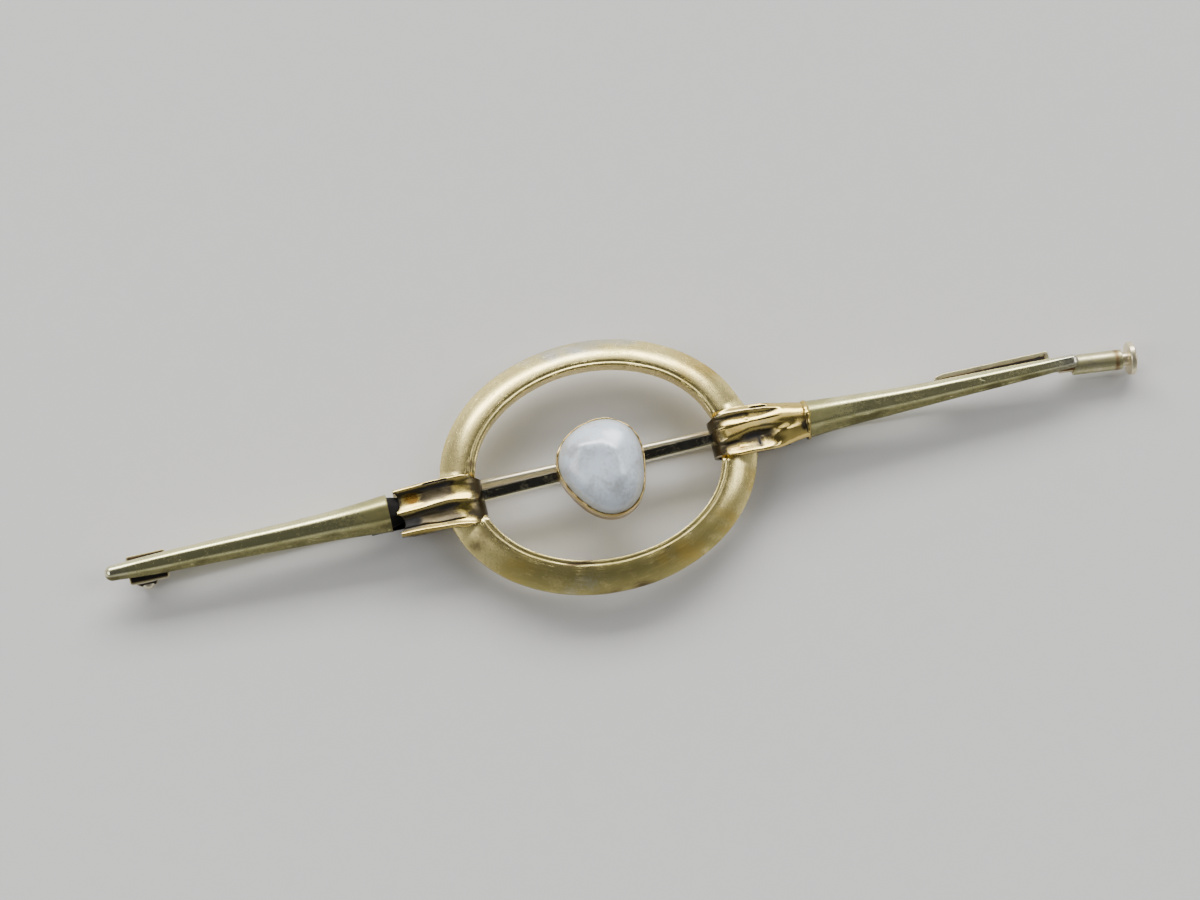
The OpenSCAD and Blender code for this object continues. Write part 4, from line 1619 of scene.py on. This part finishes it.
@dataclass(frozen=True)
class Softbox:
    """A rectangular soft light that faces the brooch.

    Args:
        name: its name.
        heading: its direction over the floor, in degrees from +X towards +Y.
        tilt: its direction's angle from straight up, in degrees.
        width: its width in metres.
        height: its height in metres.
        glow: how bright it looks.
        distance: its distance in metres.
    """

    name: str
    heading: float
    tilt: float
    width: float
    height: float
    glow: float
    distance: float = 9.0

    def build(self) -> None:
        """Makes the light and turns it to the brooch. Its power is pi * area * glow."""
        heading, tilt = math.radians(self.heading), math.radians(self.tilt)
        level = math.sin(tilt)
        way = Vector((level * math.cos(heading), level * math.sin(heading), math.cos(tilt)))
        data = bpy.data.lights.new(self.name, "AREA")
        data.shape, data.size, data.size_y = "RECTANGLE", self.width, self.height
        data.energy = math.pi * self.width * self.height * self.glow
        light = bpy.data.objects.new(self.name, data)
        light.location = way * self.distance
        light.rotation_euler = (-way).to_track_quat("-Z", "Y").to_euler()
        bpy.context.scene.collection.objects.link(light)


@dataclass
class Studio:
    """The floor, the room, the soft lights and the camera, which stands nearly over the brooch."""

    aim: Colour = (-0.00158, 0.00086, 0.002)
    azimuth: float = -23.90
    elevation: float = 78.13
    roll: float = 11.03
    distance: float = 0.16448
    lens: float = 84.184
    room: Colour = (0.92, 0.96, 1.0)
    overhead: float = 0.08
    walls: float = 0.35
    sensor: float = 36.0
    # What the camera sees, from the nearest to the farthest, and the floor's reach, in metres
    clip: tuple[float, float] = (0.01, 80.0)
    floor_reach: float = 30.0
    lights: tuple[Softbox, ...] = (
        Softbox("key", 86.0, 56.0, 13.0, 3.0, 10.5),
        Softbox("key_glow", 86.0, 56.0, 18.0, 12.0, 0.9, 11.0),
        Softbox("left_fill", 178.0, 52.0, 4.0, 5.0, 3.1),
        Softbox("right_fill", -4.0, 48.0, 3.5, 5.0, 3.3),
    )

    def build(self, finishes: Finishes) -> None:
        """Makes them all.

        Args:
            finishes: the brooch's finishes.
        """
        mesh = bpy.data.meshes.new("floor")
        r = self.floor_reach
        mesh.from_pydata([(-r, -r, 0), (r, -r, 0), (r, r, 0), (-r, r, 0)], [], [(0, 1, 2, 3)])
        mesh.materials.append(finishes.floor.material())
        floor = bpy.data.objects.new("floor", mesh)
        bpy.context.scene.collection.objects.link(floor)
        for light in self.lights:
            light.build()
        self.build_room()
        self.build_camera()

    def build_room(self) -> None:
        """A dim room, darkest straight overhead: overhead + (walls - overhead) (1 - rise)."""
        world = bpy.data.worlds.new("room")
        s = Shader(world)
        way = s.node("ShaderNodeTexCoord", None, None, "Generated")
        rise = s.node("ShaderNodeSeparateXYZ", None, {"Vector": way}, "Z").between(0.2, 1.0)
        strength = rise * (self.overhead - self.walls) + self.walls
        glow = s.node("ShaderNodeBackground", None, {"Color": self.room, "Strength": strength})
        s.node("ShaderNodeOutputWorld", None, {"Surface": glow})
        bpy.context.scene.world = world

    def build_camera(self) -> None:
        """The photograph's view, turned about its own axis: the brooch rises to the right."""
        a, e, roll = (math.radians(v) for v in (self.azimuth, self.elevation, self.roll))
        back = Vector((math.sin(a) * math.cos(e), -math.cos(a) * math.cos(e), math.sin(e)))
        level = Vector((math.cos(a), math.sin(a), 0.0))
        right = math.cos(roll) * level + math.sin(roll) * back.cross(level)
        data = bpy.data.cameras.new("camera")
        data.lens, data.sensor_width = self.lens, self.sensor
        data.clip_start, data.clip_end = self.clip
        camera = bpy.data.objects.new("camera", data)
        camera.matrix_world = Matrix((right, back.cross(right), back)).transposed().to_4x4()
        camera.location = Vector(self.aim) + back * self.distance
        bpy.context.scene.collection.objects.link(camera)
        bpy.context.scene.camera = camera


def left_arm() -> Arm:
    """The arm with the hinge, stout almost to its tip, with a hooked scratch.

    Returns:
        The arm, ready to be built.
    """
    return Arm(
        Side.HINGE,
        places=(12.55, 12.8, 13.8, 15.0, 16.0, 17.8, 20.2, 22.5, 24.8, 26.0, 27.2, 28.2, 28.88),
        top=(1.04, 1.00, 0.90, 0.81, 0.76, 0.70, 0.66, 0.63, 0.59, 0.56, 0.51, 0.46, 0.42),
        bottom=(
            -1.22, -1.19, -1.11, -1.03, -0.97, -0.91, -0.83, -0.74, -0.69, -0.66, -0.60, -0.53,
            -0.46,
        ),
        shadow_plug_end=11.2,
        scratches=(
            (-23.3, -0.19, -23.62, -0.45, -23.84, -0.66),
            (-24.43, -0.5, -24.5, -0.66),
            (-24.9, -0.2, -24.95, -0.28),
            (-19.1, -0.35, -19.16, -0.42),
        ),
    )


def right_arm() -> Arm:
    """The arm with the catch, which slims quickly.

    Returns:
        The arm, ready to be built.
    """
    return Arm(
        Side.CATCH,
        places=(12.55, 12.9, 13.8, 14.9, 16.0, 17.2, 18.4, 19.7, 22.1, 24.6, 27.0, 28.2, 28.9),
        top=(1.12, 1.07, 1.00, 0.92, 0.84, 0.77, 0.69, 0.63, 0.57, 0.52, 0.46, 0.42, 0.38),
        bottom=(
            -1.12, -1.08, -1.00, -0.93, -0.88, -0.85, -0.80, -0.76, -0.66, -0.59, -0.49, -0.43,
            -0.38,
        ),
        tip_radius=0.38,
        tip_dip=0.07,
        shadow_plug_end=12.3,
        scratches=((19.0, -0.45, 19.05, -0.6), (23.2, 0.0, 23.4, -0.1)),
    )


def left_collar() -> Collar:
    """The collar by the hinge, whose flutes stand open towards the arm.

    Returns:
        The collar, ready to be built.
    """
    return Collar(
        Side.HINGE,
        front=((12.12, 1.04), (9.5, 1.03), (8.95, 1.18)),
        top=((6.9, 7.4, 8.0, 9.1, 10.2, 11.3, 12.2), (0.95, 1.12, 1.06, 1.09, 1.10, 1.02, 0.97)),
        bottom=(
            (6.9, 7.3, 7.8, 8.4, 9.2, 9.9, 10.7, 11.4, 12.0),
            (-2.32, -2.25, -2.13, -2.04, -1.92, -1.86, -1.88, -1.88, -1.80),
        ),
        ridges=(
            Ridge(
                (6.9, 8.0, 9.1, 10.2, 11.3, 12.2), (0.88, 0.93, 0.95, 0.96, 0.89, 0.85),
                1.0, 0.2, 0.12,
            ),
            Ridge(
                (6.9, 7.7, 8.4, 9.1, 9.7, 10.5, 12.1),
                (-0.5, -0.5, -0.41, -0.29, -0.32, -0.39, -0.46), 1.0, 0.26, 0.15,
            ),
            Ridge(
                (6.9, 7.8, 8.4, 9.2, 9.9, 10.6, 11.3, 12.0),
                (-2.12, -1.98, -1.88, -1.78, -1.72, -1.66, -1.66, -1.66), 1.0, 0.2, 0.12,
            ),
            Ridge((8.0, 9.0, 9.9, 10.6, 11.3), (-1.5, -1.45, -1.4, -1.3, -1.3), 0.6, 0.2, 0.1, 8.2),
        ),
        slit=(8.9, 0.93, 9.6, 0.955, 10.3, 0.945),
        scallops=((0.25, 0.55, 0.25), (-1.0, 0.5, 0.35)),
        # Dark patches; those at the open end, below the ridges and on the flute flanks are painted
        # shade
        browned_and_shaded=(
            (12.1, 0.25, 0.2, 0.5, 0.9), (11.6, -1.1, 0.7, 0.4, 0.75),
            (9.6, 0.72, 1.2, 0.14, 0.5), (11.3, 0.72, 0.5, 0.1, 0.4),
            (9.4, -0.62, 1.5, 0.14, 0.5), (9.2, -1.35, 1.8, 0.22, 0.32),
            (9.6, 0.05, 1.5, 0.2, 0.24),
        ),
        # Gilt patches; the orange one at the open end and the band at X 8.3 are painted reflections
        gilded=(
            (11.2, 0.25, 0.42, 0.45, 1.9), (8.3, -0.5, 0.5, 1.7, 0.25),
            (10.5, -1.5, 1.2, 0.3, 0.3),
        ),
    )


def right_collar() -> Collar:
    """The collar by the catch, whose strap runs into a dome that is soldered to the arm.

    Returns:
        The collar, ready to be built.
    """
    return Collar(
        Side.CATCH,
        front=(
            (12.6, 1.0), (12.2, 1.05), (11.7, 1.14), (11.1, 1.19), (10.4, 1.15), (9.7, 1.08),
            (8.95, 1.2),
        ),
        inner_end=6.75,
        top=(
            (6.7, 7.4, 8.0, 8.9, 9.7, 10.5, 11.3, 11.8, 12.3, 12.5),
            (1.45, 1.52, 1.50, 1.47, 1.41, 1.31, 1.24, 1.16, 1.08, 1.03),
        ),
        bottom=(
            (6.7, 7.4, 8.0, 8.8, 9.6, 10.4, 11.0, 11.6, 12.3, 12.5),
            (-1.20, -1.36, -1.43, -1.42, -1.44, -1.45, -1.35, -1.24, -1.12, -1.08),
        ),
        ridges=(
            Ridge(
                (6.9, 7.9, 8.8, 9.6, 10.5, 11.3), (1.14, 1.15, 1.13, 1.07, 0.98, 0.93),
                1.0, 0.25, 0.13,
            ),
            Ridge(
                (7.4, 8.2, 8.8, 9.4, 9.95, 10.4), (0.4, 0.4, 0.42, 0.43, 0.43, 0.45),
                0.86, 0.3, 0.2,
            ),
            Ridge(
                (7.0, 7.8, 8.5, 9.1, 9.8, 10.3), (-0.4, -0.28, -0.14, 0, 0, -0.04),
                1.0, 0.7, 0.16,
            ),
            Ridge(
                (6.9, 8.0, 8.8, 9.6, 10.4, 11.0), (-1.2, -1.34, -1.32, -1.34, -1.34, -1.23),
                1.0, 0.3, 0.12,
            ),
        ),
        slit=(9.35, 1.23, 10.25, 1.16),
        barrel_from=9.9,
        flute_depth=0.32,
        # Dark patches; those below the ridges and on the lower flute's flank are painted shade
        browned_and_shaded=(
            (8.4, 0.92, 0.6, 0.12, 0.6), (12.2, -0.45, 0.22, 0.35, 0.5),
            (9.45, -0.9, 0.1, 0.3, 0.5), (10.6, 0.8, 0.6, 0.1, 0.3), (9.2, -0.35, 0.9, 0.2, 0.5),
            (8.3, -0.62, 0.7, 0.15, 0.4), (12.3, 0.2, 0.12, 0.5, 0.3), (8.9, -1.1, 1.4, 0.2, 0.3),
        ),
        # Gilt patches; the two bands at X 8.3 are painted reflections
        gilded=(
            (8.3, 0.15, 0.8, 0.4, 0.9), (8.3, -1.0, 0.7, 0.25, 0.7), (8.8, 0.72, 0.9, 0.15, 0.5),
            (11.4, 0.5, 0.8, 0.6, 0.15), (9.75, -1.0, 0.15, 0.35, 0.5),
        ),
        dents=((10.9, -0.5, 0.55, 0.28, 0.16), (9.0, 0.75, 0.12, 0.2, -0.05)),
        creases=((9.7, -0.6, 9.8, -1.2), (8.3, -0.95, 8.9, -1.0)),
    )


def dress_nodes(nodes: dict[str, bpy.types.Object], finishes: Finishes) -> None:
    """Gives the CAD nodes that stay their finishes.

    Args:
        nodes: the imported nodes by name.
        finishes: the brooch's finishes.
    """
    for name, finish in {"pin_stem": finishes.pin, "hinge_rivet": finishes.rivet}.items():
        materials = nodes[name].data.materials
        materials.clear()
        materials.append(finish.material())
        LOG.info("%s: dressed in %s", name, finish.name)


def main() -> None:
    """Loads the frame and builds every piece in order."""
    logging.basicConfig(level=logging.INFO, format="%(message)s")
    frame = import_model()
    finishes = Finishes()
    Studio().build(finishes)
    dress_nodes(frame["nodes"], finishes)
    parts = (
        Setting(), OvalRing(), left_arm(), right_arm(), left_collar(), right_collar(),
        SolderRing(), FrontBar(), HingeJoint(), Catch(),
    )
    for part in parts:
        part.build(finishes)


if __name__ == "__main__":
    main()
